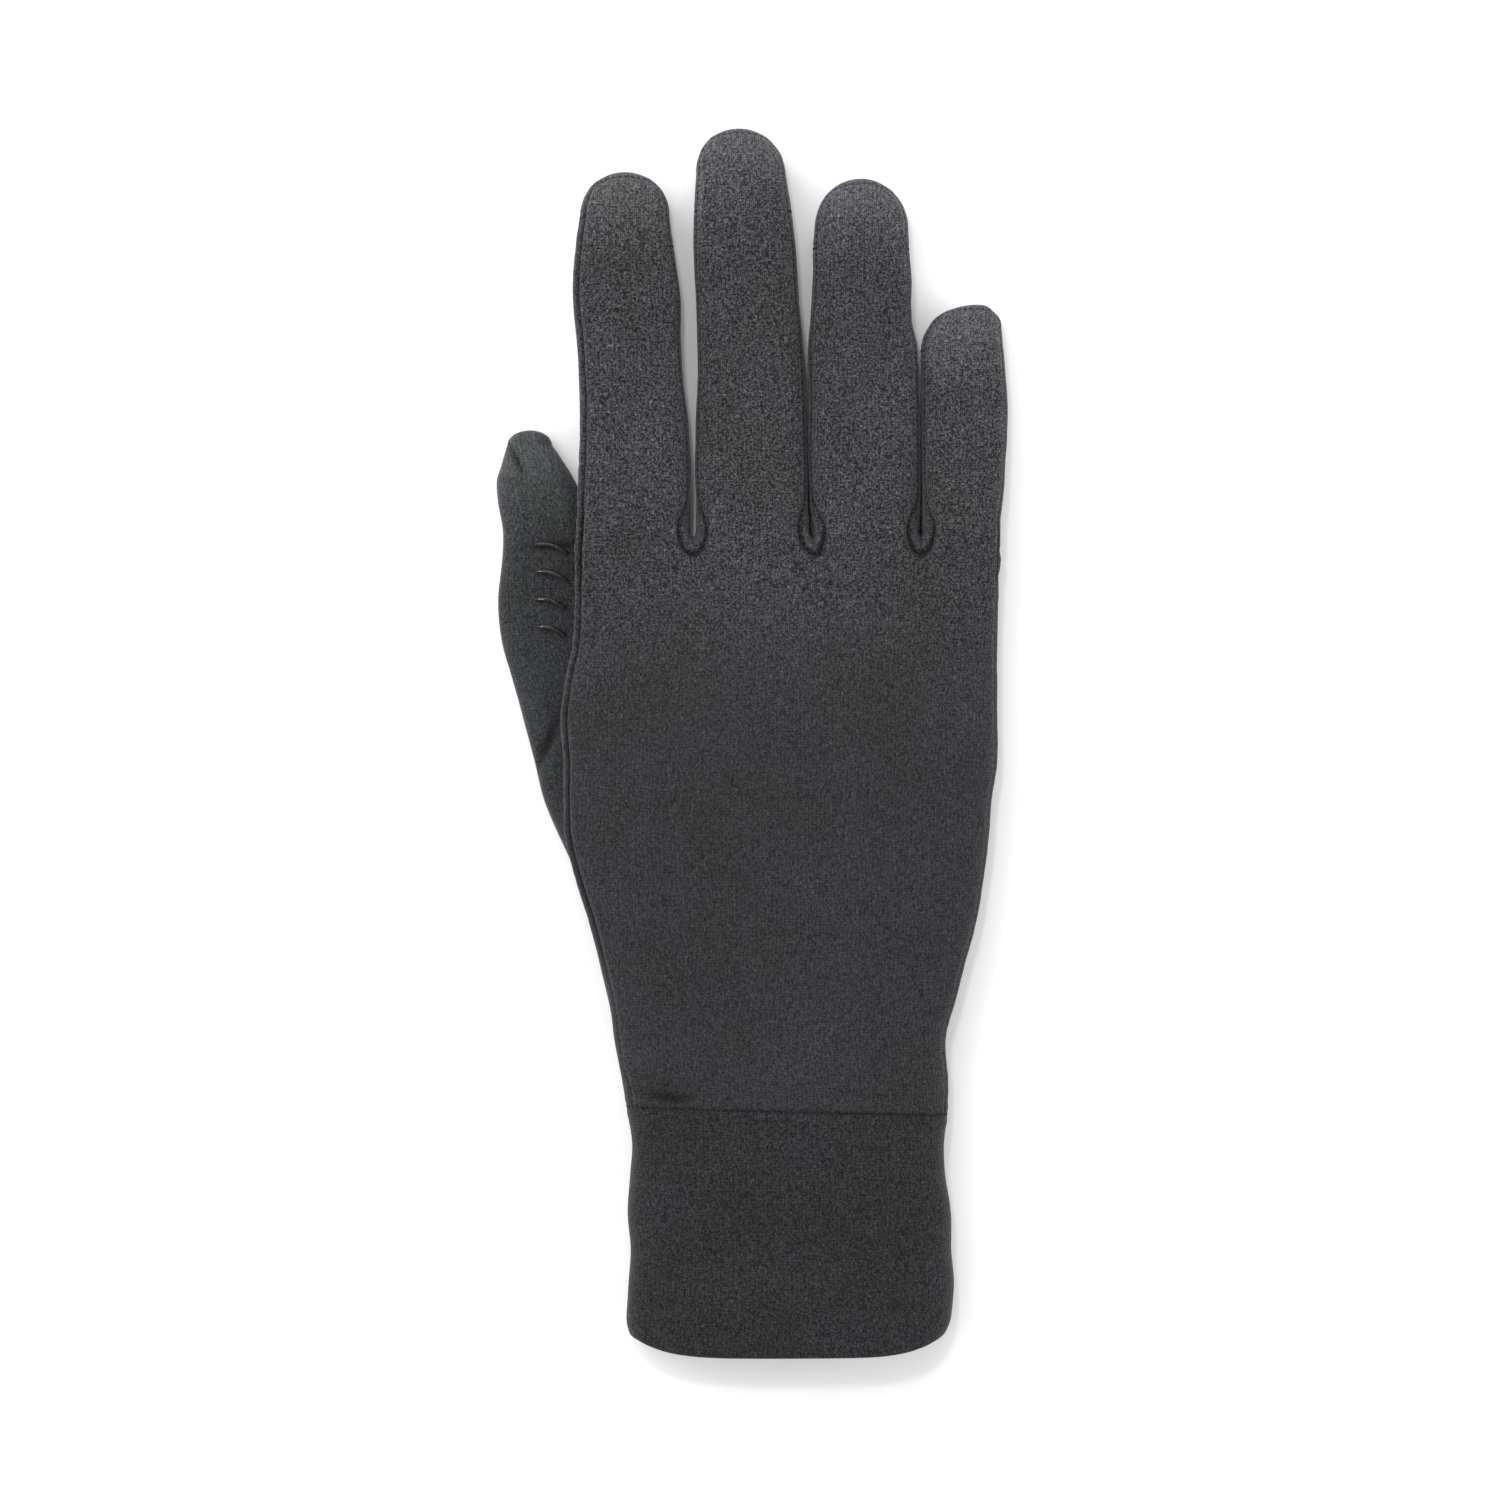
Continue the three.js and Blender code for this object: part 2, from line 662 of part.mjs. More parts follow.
// The rows between the knuckle seam and the first free row of each finger
function layKnuckles(skin, firstRows) {
  const crotches = [];
  for (let k = 0; k < LAST; k += 1) {
    const left = sideOfFinger(firstRows[k], true);
    const right = sideOfFinger(firstRows[k + 1], false);
    const rows = crotchRows(k, left, right);
    crotches.push(rows);
    for (let i = 0; i + 1 < rows.length; i += 1) {
      skin.band(rows[i + 1], rows[i], () => fourchetteName(k));
    }
  }
  const palm = palmRow(KNUCKLE_Y);
  FINGERS.forEach((_, k) => {
    let lower = { over: palm.over[k], under: palm.under[k], left: palm.left, right: palm.right };
    for (let i = 1; i <= WEB_ROWS; i += 1) {
      const turn = (i / WEB_ROWS) * (Math.PI / 2);
      const y = lerp(KNUCKLE_Y, FINGER_Y, 1 - Math.cos(turn));
      const upper = i === WEB_ROWS ? firstStrips(firstRows[k]) : knuckleStrips(k, y, i, crotches);
      skin.band(lower.over, upper.over, () => PANEL_BACK);
      skin.band([...upper.under], [...lower.under], () => PANEL_PALM);
      if (k === 0) {
        const [low, high] = [lower, upper].map((row) => [row.over[0], ...row.left, row.under[0]]);
        skin.band(high, low, () => PANEL_PALM);
      }
      if (k === LAST) {
        const ends = (row) => [row.over[STRIP_COLUMNS], ...row.right, row.under[STRIP_COLUMNS]];
        skin.band(ends(lower), ends(upper), () => PANEL_PALM);
      }
      lower = upper;
    }
  });
}

function firstStrips(row) {
  return { over: row.over[0], under: row.under[0], left: row.left, right: row.right };
}

function knuckleStrips(k, y, i, crotches) {
  const sides = fingerSides(k, y);
  const start = k === 0 ? null : crotches[k - 1][WEB_ROWS + i];
  const end = k === LAST ? null : crotches[k][WEB_ROWS - i];
  const line = (over) => {
    const inset = over ? EDGE_SEAM_INSET : PALM_EDGE_TURN;
    const column = over ? 0 : BAND_COLUMNS;
    const from = start ? start[column].x : sides.left + inset;
    const to = end ? end[column].x : sides.right - inset;
    const points = strip(over, k, y, from, to);
    if (start) points[0] = start[column];
    if (end) points[STRIP_COLUMNS] = end[column];
    return points;
  };
  return {
    over: line(true),
    under: line(false),
    left: k === 0 ? sideBand(k, y, sides.left, EDGE_SEAM_INSET, PALM_EDGE_TURN, 1) : [],
    right: k === LAST ? sideBand(k, y, sides.right, EDGE_SEAM_INSET, PALM_EDGE_TURN, -1) : [],
  };
}

function layFinger(skin, k, rows) {
  const fourchetteTop = lerp(FINGER_Y, FINGERS[k].tipY, FOURCHETTE_END);
  const rightStart = STRIP_COLUMNS;
  const palmStart = rightStart + BAND_COLUMNS;
  const leftStart = palmStart + STRIP_COLUMNS;
  for (let i = 1; i < rows.length; i += 1) {
    const strips = rows[i].y <= fourchetteTop && rows[i].y > rows[i - 1].y;
    const label = (column) => {
      if (column < rightStart) return rows[i].seam ? PANEL_PALM : PANEL_BACK;
      if (column < palmStart) return strips && k < LAST ? fourchetteName(k) : PANEL_PALM;
      if (column < leftStart) return PANEL_PALM;
      return strips && k > 0 ? fourchetteName(k - 1) : PANEL_PALM;
    };
    skin.band(loop(rows[i - 1]), loop(rows[i]), label);
  }
}

function layHand() {
  const skin = new Skin();
  const fingers = FINGERS.map((_, k) => fingerRows(k));
  layCuffAndPalm(skin);
  layKnuckles(skin, fingers.map((rows) => rows[0]));
  fingers.forEach((rows, k) => layFinger(skin, k, rows));
  return skin;
}

// Height of the thumb's skin: flat under the palm and on the floor, round at its sides
function thumbHeight(over, across, full, end) {
  const top = THUMB_THICK * full;
  const side = top / 2;
  const share = Math.min(1, FLAT_SHARE * dome(across, THUMB_POWER) * end);
  return over ? side + (top - side) * share : side - side * share;
}

function thumbLoop(along, rise, capEnd) {
  const sides = thumbSides(along);
  const half = (sides.right - sides.left) / 2;
  const middle = (sides.right + sides.left) / 2;
  const y = lerp(THUMB_BASE_Y, THUMB_TIP_Y, along);
  const count = 2 * (THUMB_COLUMNS + BAND_COLUMNS);
  const points = [];
  for (let i = 0; i < count; i += 1) {
    const turn = Math.PI - (2 * Math.PI * i) / count;
    const across = Math.cos(turn);
    const over = i <= count / 2;
    const climb = rise * Math.sqrt(1 - (across * across) / 2);
    const x = middle + half * across * Math.sqrt(1 - (rise * rise) / 2);
    const z = thumbHeight(over, across, sides.full, dome(rise, 2));
    points.push(new THREE.Vector3(x, lerp(y, capEnd, climb), z));
  }
  return [...points, points[0]];
}

function layThumb() {
  const skin = new Skin();
  const first = THUMB_SECTIONS[0].along;
  const last = THUMB_SECTIONS[THUMB_SECTIONS.length - 1].along;
  const rises = [0.38, 0.71, 0.92, 1];
  const loops = [...rises].reverse().map((rise) => thumbLoop(first, rise, THUMB_BASE_Y));
  for (let i = 0; i <= THUMB_ROWS; i += 1) {
    loops.push(thumbLoop(lerp(first, last, i / THUMB_ROWS), 0, 0));
  }
  loops.push(...rises.map((rise) => thumbLoop(last, rise, THUMB_TIP_Y)));
  for (let i = 1; i < loops.length; i += 1) skin.band(loops[i - 1], loops[i], () => 'thumb');
  return skin;
}

// Booleans
const wasm = await Module();
wasm.setup();

function toSolid(geometry) {
  const bare = geometry.clone();
  bare.deleteAttribute('normal');
  bare.deleteAttribute('uv');
  const merged = mergeVertices(bare, 1e-4);
  return new wasm.Manifold(new wasm.Mesh({
    numProp: 3,
    vertProperties: Float32Array.from(merged.attributes.position.array),
    triVerts: Uint32Array.from(merged.index.array),
  }));
}

function toGeometry(solid) {
  const mesh = solid.getMesh();
  const geometry = new THREE.BufferGeometry();
  geometry.setAttribute('position', new THREE.BufferAttribute(mesh.vertProperties, 3));
  geometry.setIndex(new THREE.BufferAttribute(mesh.triVerts, 1));
  geometry.computeVertexNormals();
  return geometry;
}

// The opening through which the thumb leaves the palm
function mouthCutter() {
  const sides = thumbSides(MOUTH_ALONG);
  const outline = new THREE.Shape();
  outline.absellipse(0, 0, MOUTH_WIDTH / 2, MOUTH_LENGTH / 2, 0, 2 * Math.PI);
  const depth = THUMB_THICK;
  const settings = { depth, bevelEnabled: false, curveSegments: MOUTH_SIDES };
  const cutter = new THREE.ExtrudeGeometry(outline, settings);
  const x = (sides.left + sides.right) / 2 + MOUTH_SHIFT;
  cutter.translate(x, lerp(THUMB_BASE_Y, THUMB_TIP_Y, MOUTH_ALONG), THUMB_THICK / 2);
  return cutter;
}

function thumbGeometry(cutter) {
  const skin = layThumb();
  const normals = skin.normals();
  const faces = skin.quads.flatMap(({ corners }) => triangles(corners));
  const inner = skin.points.map((p, i) => p.clone().addScaledVector(normals[i], -KNIT_WALL));
  const outside = toSolid(meshGeometry(skin.points, faces));
  const inside = toSolid(meshGeometry(inner, faces));
  return toGeometry(outside.subtract(inside).subtract(cutter));
}

// A raised line laid over the thumb, just clear of its cloth
function gripGeometry(line) {
  const points = [];
  for (let i = 0; i <= GRIP_STEPS; i += 1) {
    const t = i / GRIP_STEPS;
    const rise = line.slope * t + line.bend * Math.sin(Math.PI * t);
    const along = line.along + (rise * THUMB_WIDTH) / THUMB_LENGTH;
    const sides = thumbSides(along);
    const x = THUMB_LINE_X - THUMB_WIDTH * lerp(line.from, line.to, t);
    const across = (x - (sides.left + sides.right) / 2) / ((sides.right - sides.left) / 2);
    const top = thumbHeight(true, across, sides.full, 1);
    points.push(new THREE.Vector3(x, lerp(THUMB_BASE_Y, THUMB_TIP_Y, along), top + SEAM_GAP + GRIP_HEIGHT / 2));
  }
  const path = new THREE.CatmullRomCurve3(points);
  const section = new THREE.Shape();
  section.absellipse(0, 0, GRIP_HEIGHT / 2, GRIP_WIDTH / 2, 0, 2 * Math.PI);
  const settings = { steps: GRIP_STEPS, extrudePath: path, curveSegments: 2, bevelEnabled: false };
  return new THREE.ExtrudeGeometry(section, settings);
}

function material(color, roughness) {
  return new THREE.MeshStandardMaterial({ color, roughness, metalness: 0 });
}

function piece(name, geometry, finish) {
  const mesh = new THREE.Mesh(geometry, finish);
  mesh.name = name;
  return mesh;
}

function buildGlove() {
  const glove = new THREE.Group();
  const skin = layHand();
  const normals = skin.normals();
  const cutter = toSolid(mouthCutter());
  const panel = (name, wall) => panelGeometry(skin, normals, name, wall);
  glove.add(piece(PANEL_BACK, panel(PANEL_BACK, KNIT_WALL), material(SKIN_COLOUR, 0.85)));
  const palm = toGeometry(toSolid(panel(PANEL_PALM, KNIT_WALL)).subtract(cutter));
  glove.add(piece(PANEL_PALM, palm, material(SKIN_COLOUR, 0.85)));
  for (let k = 0; k < LAST; k += 1) {
    const name = fourchetteName(k);
    glove.add(piece(name, panel(name, KNIT_WALL), material(SKIN_COLOUR, 0.85)));
  }
  glove.add(piece(PANEL_CUFF, panel(PANEL_CUFF, CUFF_WALL), material(CUFF_COLOUR, 0.9)));
  glove.add(piece('thumb', thumbGeometry(cutter), material(SKIN_COLOUR, 0.85)));
  GRIP_LINES.forEach((line, i) => {
    glove.add(piece(`thumb_grip_${i + 1}`, gripGeometry(line), material(GRIP_COLOUR, 0.4)));
  });
  const box = new THREE.Box3().setFromObject(glove);
  const centre = box.getCenter(new THREE.Vector3());
  glove.position.set(-centre.x, -centre.y, -box.min.z);
  return glove;
}

export default buildGlove();
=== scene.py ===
"""Looks of a thin stretch-knit sports glove for the right hand, lying on its palm.

The glove is laid as one skin over the hand, as in the model's own sections, but with fine rows and
columns. Seams, puckers and folds are pressed into the skin, and it is then cut into its sewn
panels, each with its own wall, cloth direction and finish.
"""
import logging
import math
from dataclasses import dataclass, field
from enum import Enum

import bpy
import numpy as np
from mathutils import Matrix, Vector, noise
from mathutils.kdtree import KDTree


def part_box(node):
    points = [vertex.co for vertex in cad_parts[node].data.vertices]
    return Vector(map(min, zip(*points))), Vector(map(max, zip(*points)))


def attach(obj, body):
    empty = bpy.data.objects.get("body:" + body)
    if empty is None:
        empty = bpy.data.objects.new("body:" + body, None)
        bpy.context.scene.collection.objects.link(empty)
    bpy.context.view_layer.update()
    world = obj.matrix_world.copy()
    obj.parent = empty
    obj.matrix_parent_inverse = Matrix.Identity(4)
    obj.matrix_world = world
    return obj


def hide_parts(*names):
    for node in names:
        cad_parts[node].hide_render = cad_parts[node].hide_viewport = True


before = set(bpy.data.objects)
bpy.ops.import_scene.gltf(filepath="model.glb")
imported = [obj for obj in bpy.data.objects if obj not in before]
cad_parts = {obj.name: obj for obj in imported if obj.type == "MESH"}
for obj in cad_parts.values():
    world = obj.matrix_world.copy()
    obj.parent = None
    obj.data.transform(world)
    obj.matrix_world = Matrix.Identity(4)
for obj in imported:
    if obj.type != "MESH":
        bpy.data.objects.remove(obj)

log = logging.getLogger("glove")
MM = 0.001
Array = np.ndarray


class Panel(Enum):
    """The sewn panels that the skin is cut into."""

    BACK = "back_panel"
    PALM = "palm_panel"
    INDEX_MIDDLE = "fourchette_index_middle"
    MIDDLE_RING = "fourchette_middle_ring"
    RING_LITTLE = "fourchette_ring_little"
    CUFF = "cuff"
    THUMB = "thumb"


class Side(Enum):
    """The two faces of the lying hand."""

    BACK = "back"
    PALM = "palm"


FOURCHETTES = (Panel.INDEX_MIDDLE, Panel.MIDDLE_RING, Panel.RING_LITTLE)

FINGER_COLUMNS = ("along", "left", "right", "full")
SIDE_COLUMNS = ("along", "left", "right")


def smooth(t: Array | float) -> Array | float:
    """Ease t from 0 to 1, held outside that range."""
    held = np.clip(t, 0.0, 1.0)
    return held * held * (3 - 2 * held)


def lerp(a: Array | float, b: Array | float, t: Array | float) -> Array | float:
    """Mix a and b by the share t."""
    return a + (b - a) * t


def dome(across: Array | float, power: float) -> Array | float:
    """Height of a superelliptic dome, which is 1 in the middle and 0 at across = 1."""
    return np.maximum(0.0, 1 - np.abs(across) ** power) ** (1 / power)


def bell(distance: Array | float, width: float) -> Array | float:
    """A bump of height 1 that fades over width."""
    return np.exp(-((distance / width) ** 2))


def clustered(count: int, ease: float) -> Array:
    """Shares from 0 to 1 that lie closer together towards both ends.

    Args:
        count: number of steps.
        ease: half-turn share left out at each end; 0 packs the ends most.

    Returns:
        count + 1 shares.
    """
    turn = math.pi * (ease + (1 - 2 * ease) * (1 - np.arange(count + 1) / count))
    return 0.5 + np.cos(turn) / math.cos(math.pi * ease) / 2


class Table:
    """A short table of sections with named columns, read as smooth curves."""

    def __init__(self, names: tuple[str, ...], rows: list[tuple[float, ...]]) -> None:
        """Keep the rows by column name."""
        data = np.array(rows, float)
        self.along = data[:, 0]
        self.columns = {name: data[:, i] for i, name in enumerate(names)}

    def read(self, name: str, along: float) -> float:
        """Read one column.

        Args:
            name: the column.
            along: place along the table.

        Returns:
            The value there, on a curve through the rows.
        """
        last = len(self.along) - 1
        i = int(np.clip(np.searchsorted(self.along, along, side="right") - 1, 0, last - 1))
        values = self.columns[name]

        def slope(k: int) -> float:
            """Slope of the curve at row k."""
            low, high = max(k - 1, 0), min(k + 1, last)
            return (values[high] - values[low]) / (self.along[high] - self.along[low])

        step = self.along[i + 1] - self.along[i]
        t = min(max((along - self.along[i]) / step, 0.0), 1.0)
        t2, t3 = t * t, t * t * t
        return ((2 * t3 - 3 * t2 + 1) * values[i] + (t3 - 2 * t2 + t) * step * slope(i)
                + (3 * t2 - 2 * t3) * values[i + 1] + (t3 - t2) * step * slope(i + 1))


INDEX_ROWS = Table(FINGER_COLUMNS, [
    (0.0, 0.5, 0.5, 1.0), (0.065, 0.487, 0.483, 1.0), (0.144, 0.474, 0.487, 1.0),
    (0.248, 0.457, 0.487, 1.0), (0.352, 0.457, 0.466, 1.0), (0.457, 0.466, 0.427, 1.0),
    (0.561, 0.479, 0.41, 1.0), (0.666, 0.513, 0.41, 1.0), (0.744, 0.517, 0.376, 0.99),
    (0.822, 0.491, 0.333, 0.97), (0.888, 0.457, 0.307, 0.95),
])
MIDDLE_ROWS = Table(FINGER_COLUMNS, [
    (0.0, 0.5, 0.5, 1.0), (0.058, 0.496, 0.463, 1.0), (0.129, 0.492, 0.442, 1.0),
    (0.222, 0.5, 0.433, 1.0), (0.315, 0.492, 0.429, 1.0), (0.409, 0.479, 0.425, 1.0),
    (0.502, 0.488, 0.404, 1.0), (0.596, 0.496, 0.367, 1.0), (0.689, 0.51, 0.346, 0.99),
    (0.783, 0.51, 0.313, 0.98), (0.888, 0.483, 0.267, 0.95),
])
RING_ROWS = Table(FINGER_COLUMNS, [
    (0.0, 0.5, 0.5, 1.0), (0.066, 0.549, 0.505, 1.0), (0.146, 0.579, 0.515, 1.0),
    (0.252, 0.584, 0.515, 1.0), (0.358, 0.589, 0.515, 1.0), (0.464, 0.594, 0.51, 1.0),
    (0.557, 0.6, 0.485, 1.0), (0.623, 0.574, 0.436, 1.0), (0.729, 0.545, 0.426, 0.99),
    (0.809, 0.54, 0.406, 0.97), (0.867, 0.53, 0.396, 0.95),
])
LITTLE_ROWS = Table(FINGER_COLUMNS, [
    (0.0, 0.5, 0.5, 1.0), (0.099, 0.494, 0.5, 1.0), (0.218, 0.481, 0.538, 1.0),
    (0.377, 0.487, 0.564, 0.98), (0.536, 0.494, 0.595, 0.96), (0.694, 0.5, 0.583, 0.94),
    (0.813, 0.506, 0.551, 0.92), (0.873, 0.468, 0.538, 0.88), (0.913, 0.392, 0.532, 0.82),
])
PALM_SIDES = Table(SIDE_COLUMNS, [
    (0.0, 0.505, 0.495), (0.054, 0.514, 0.49), (0.126, 0.524, 0.473), (0.198, 0.527, 0.492),
    (0.27, 0.541, 0.512), (0.342, 0.558, 0.532), (0.414, 0.58, 0.538), (0.486, 0.597, 0.54),
    (0.559, 0.594, 0.5375), (0.631, 0.581, 0.5425), (0.703, 0.573, 0.532),
    (0.775, 0.552, 0.522), (0.847, 0.5245, 0.512), (0.919, 0.512, 0.506), (1.0, 0.5, 0.5),
])
CUFF_SIDES = Table(SIDE_COLUMNS, [
    (0.0, 0.505, 0.495), (0.15, 0.484, 0.486), (0.285, 0.486, 0.489), (0.447, 0.493, 0.505),
    (0.61, 0.482, 0.503), (0.772, 0.489, 0.51), (1.0, 0.496, 0.493),
])
THUMB_SECTIONS = Table(FINGER_COLUMNS, [
    (0.042, -0.18, 0.66, 0.85), (0.074, -0.097, 0.784, 0.95), (0.137, 0.021, 0.886, 1.0),
    (0.221, 0.165, 0.869, 1.0), (0.305, 0.25, 0.792, 1.0), (0.389, 0.335, 0.682, 1.0),
    (0.473, 0.428, 0.555, 1.0), (0.557, 0.521, 0.42, 1.0), (0.641, 0.555, 0.318, 1.0),
    (0.725, 0.521, 0.25, 1.0), (0.788, 0.513, 0.225, 1.0), (0.847, 0.555, 0.182, 1.0),
    (0.893, 0.568, 0.097, 0.97), (0.922, 0.534, 0.03, 0.88), (0.952, 0.5, -0.047, 0.74),
    (0.969, 0.479, -0.097, 0.62),
])


@dataclass
class Finger:
    """One finger's sizes in millimetres, and the table of its sections."""

    name: str
    length: float
    width: float
    lean: float
    rows: Table
    axis: float = 0.0
    tip_y: float = 0.0


@dataclass
class HandForm:
    """Form of the lying hand: its sides, thickness and the surface that it lies on, in mm."""

    cuff_length: float = 50.0
    cuff_width: float = 66.7
    cuff_thick: float = 18.0
    wrist_width: float = 65.1
    wrist_thick: float = 18.0
    palm_length: float = 112.9
    palm_thick: float = 19.0
    knuckle_thick: float = 15.5
    finger_thick: float = 12.5
    finger_clear: float = 0.6
    thumb_length: float = 96.8
    thumb_width: float = 24.0
    thumb_thick: float = 8.0
    thumb_drop: float = 25.6
    seam_gap: float = 0.3
    web_seam_depth: float = 5.0
    web_depth: float = 1.2
    lift_ramp: float = 8.0
    crown_ramp: float = 30.0
    lift_margin: float = 1.5
    knuckle_fade: float = 8.0
    side_fade: float = 30.0
    side_from: float = 0.72
    edge_share: float = 0.44
    lift_share: float = 0.35
    flat_share: float = 1.08
    finger_power: float = 3.4
    palm_power: float = 2.8
    finger_sole_power: float = 4.0
    palm_sole_power: float = 6.0
    thumb_power: float = 2.6
    fingers: list[Finger] = field(default_factory=lambda: [
        Finger("index", 77.9, 23.7, 0.0, INDEX_ROWS),
        Finger("middle", 87.1, 24.4, -0.025, MIDDLE_ROWS),
        Finger("ring", 76.7, 20.5, 0.0, RING_ROWS),
        Finger("little", 51.3, 16.0, 0.15, LITTLE_ROWS),
    ])

    def __post_init__(self) -> None:
        """Work out the places that follow from the sizes."""
        self.last = len(self.fingers) - 1
        self.seam_y = self.cuff_length
        self.knuckle_y = self.cuff_length + self.palm_length
        self.finger_y = self.knuckle_y + self.web_seam_depth
        self.web_y = self.finger_y - self.web_depth
        widths = sum(finger.width for finger in self.fingers)
        self.knuckle_width = widths + self.last * self.finger_clear
        self.thumb_lift = self.thumb_thick + self.seam_gap
        edge = -self.knuckle_width / 2
        for finger in self.fingers:
            finger.axis = edge + finger.width / 2
            finger.tip_y = self.knuckle_y + finger.length
            edge += finger.width + self.finger_clear
        little = self.fingers[self.last].length
        self.crests = [
            (0.0, self.cuff_thick),
            (self.seam_y, self.wrist_thick),
            (self.seam_y + self.palm_length * 0.55, self.palm_thick),
            (self.knuckle_y, self.knuckle_thick),
            (self.knuckle_y + little * 0.6, self.finger_thick),
        ]
        self.thumb_line_x = self.palm_sides(self.seam_y + self.palm_length * 0.559)[0]
        self.thumb_tip_y = self.knuckle_y + self.thumb_drop
        self.thumb_base_y = self.thumb_tip_y - self.thumb_length

    def crest(self, y: float) -> float:
        """Thickness of the lying hand at y, from the hem to the fingertips."""
        if y >= self.crests[-1][0]:
            return self.crests[-1][1]
        i = max(next(n for n, (at, _) in enumerate(self.crests) if at > y), 1)
        (y0, thick0), (y1, thick1) = self.crests[i - 1], self.crests[i]
        return float(lerp(thick0, thick1, smooth((y - y0) / (y1 - y0))))

    def palm_sides(self, y: float) -> tuple[float, float]:
        """Outer left and right side of the cuff or palm at y."""
        in_cuff = y < self.seam_y
        along = 1 - y / self.cuff_length if in_cuff else (y - self.seam_y) / self.palm_length
        rows = CUFF_SIDES if in_cuff else PALM_SIDES
        full = self.cuff_width if in_cuff else self.knuckle_width
        width = self.wrist_width + (full - self.wrist_width) * min(max(along, 0.0), 1.0)
        return -width * rows.read("left", along), width * rows.read("right", along)

    def division(self, k: int, y: float) -> float:
        """Line from the crotch right of finger k down through the palm."""
        left, right = self.palm_sides(min(y, self.knuckle_y))
        finger = self.fingers[k]
        at_knuckle = finger.axis + (finger.width + self.finger_clear) / 2
        return left + (right - left) * (at_knuckle / self.knuckle_width + 0.5)

    def finger_sides(self, k: int, y: float) -> tuple[float, float, float]:
        """Left side, right side and share of the thickness of finger k at y."""
        finger = self.fingers[k]
        if y >= self.knuckle_y:
            along = (y - self.knuckle_y) / finger.length
            return (finger.axis - finger.width * finger.rows.read("left", along),
                    finger.axis + finger.width * finger.rows.read("right", along),
                    finger.rows.read("full", along))
        left, right = self.palm_sides(y)
        return (left if k == 0 else self.division(k - 1, y),
                right if k == self.last else self.division(k, y), 1.0)

    def thumb_sides(self, along: float) -> tuple[float, float, float]:
        """Left side, right side and share of the thickness of the thumb."""
        return (self.thumb_line_x - self.thumb_width * THUMB_SECTIONS.read("left", along),
                self.thumb_line_x + self.thumb_width * THUMB_SECTIONS.read("right", along),
                THUMB_SECTIONS.read("full", along))

    def thumb_y(self, along: float) -> float:
        """Place of a thumb section."""
        return self.thumb_base_y + (self.thumb_tip_y - self.thumb_base_y) * along

    def ground(self, x: Array, y: float, ramp: float | None = None) -> Array:
        """Height that the hand lies on.

        Args:
            x: places across the row.
            y: the row.
            ramp: length over which the height runs out beside the tucked thumb.

        Returns:
            Height of the floor, or of the thumb where it lies under the hand.
        """
        along = min(max((y - self.thumb_base_y) / self.thumb_length, 0.0), 1.0)
        ramp = self.lift_ramp if ramp is None else ramp
        reach = self.lift_margin + ramp
        across = smooth((self.thumb_sides(along)[1] + reach - x) / ramp)
        above = smooth((self.thumb_tip_y + reach - y) / ramp)
        below = smooth((y - self.thumb_base_y + reach) / ramp)
        return self.thumb_lift * across * above * below

    def crown(self, x: Array, y: float, full: float) -> Array:
        """Height of the top of the back, which is stretched smoothly over the thumb."""
        return self.crest(y) * full + self.lift_share * self.ground(x, y, self.crown_ramp)

    def edge(self, x: Array, y: float, full: float) -> Array:
        """Height of the hand's edge, between back and palm."""
        floor = self.ground(x, y)
        return floor + self.edge_share * (self.crown(x, y, full) - floor)

    def palm_share(self, y: float, across_palm: Array) -> Array:
        """How far the finger domes have run into the one dome of the palm.

        Args:
            y: the row.
            across_palm: places across the palm, from -1 to 1. The outer flanks run in slower.

        Returns:
            The share of the palm's own dome at each place.
        """
        flank = smooth((np.abs(across_palm) - self.side_from) / (1 - self.side_from))
        fade = self.knuckle_fade + self.side_fade * flank
        left = 1 - np.clip((self.finger_y - y) / fade, 0.0, 1.0)
        return 1 - left ** lerp(4.0, 2.0, flank)

    def height(self, side: Side, k: int, x: Array, y: float, end: float = 1.0) -> Array:
        """Height of the skin over a row of plan points.

        Args:
            side: back or palm.
            k: the finger.
            x: the points across the row.
            y: the row.
            end: share of the dome that is left towards a fingertip.

        Returns:
            Height of each point.
        """
        own_left, own_right, full = self.finger_sides(k, y)
        left, right = self.palm_sides(min(y, self.knuckle_y))
        across = (x - (own_left + own_right) / 2) / ((own_right - own_left) / 2)
        across_palm = (x - (left + right) / 2) / ((right - left) / 2)
        over = side is Side.BACK
        own = dome(across, self.finger_power if over else self.finger_sole_power)
        palm = dome(across_palm, self.palm_power if over else self.palm_sole_power)
        share = lerp(own, palm, self.palm_share(y, across_palm)) * end
        floor, rim = self.ground(x, y), self.edge(x, y, full)
        if over:
            return rim + (self.crown(x, y, full) - rim) * share
        return np.maximum(floor, rim - (rim - floor) * self.flat_share * share)

    def thumb_height(self, side: Side, across: Array, full: float, end: float) -> Array:
        """Height of the thumb's skin, flat under the palm and on the floor."""
        top = self.thumb_thick * full
        share = np.minimum(1.0, self.flat_share * dome(across, self.thumb_power) * end)
        middle = top / 2
        return middle + (top - middle) * share if side is Side.BACK else middle * (1 - share)


@dataclass
class Row:
    """A row of skin points with the cloth's own coordinates at each."""

    points: Array
    cloth: Array

    @staticmethod
    def join(rows: list["Row"]) -> "Row":
        """Join rows end to end."""
        return Row(np.concatenate([r.points for r in rows]), np.concatenate([r.cloth for r in rows]))

    def part(self, start: int, stop: int) -> "Row":
        """Points from start up to and with stop."""
        return Row(self.points[start:stop + 1], self.cloth[start:stop + 1])


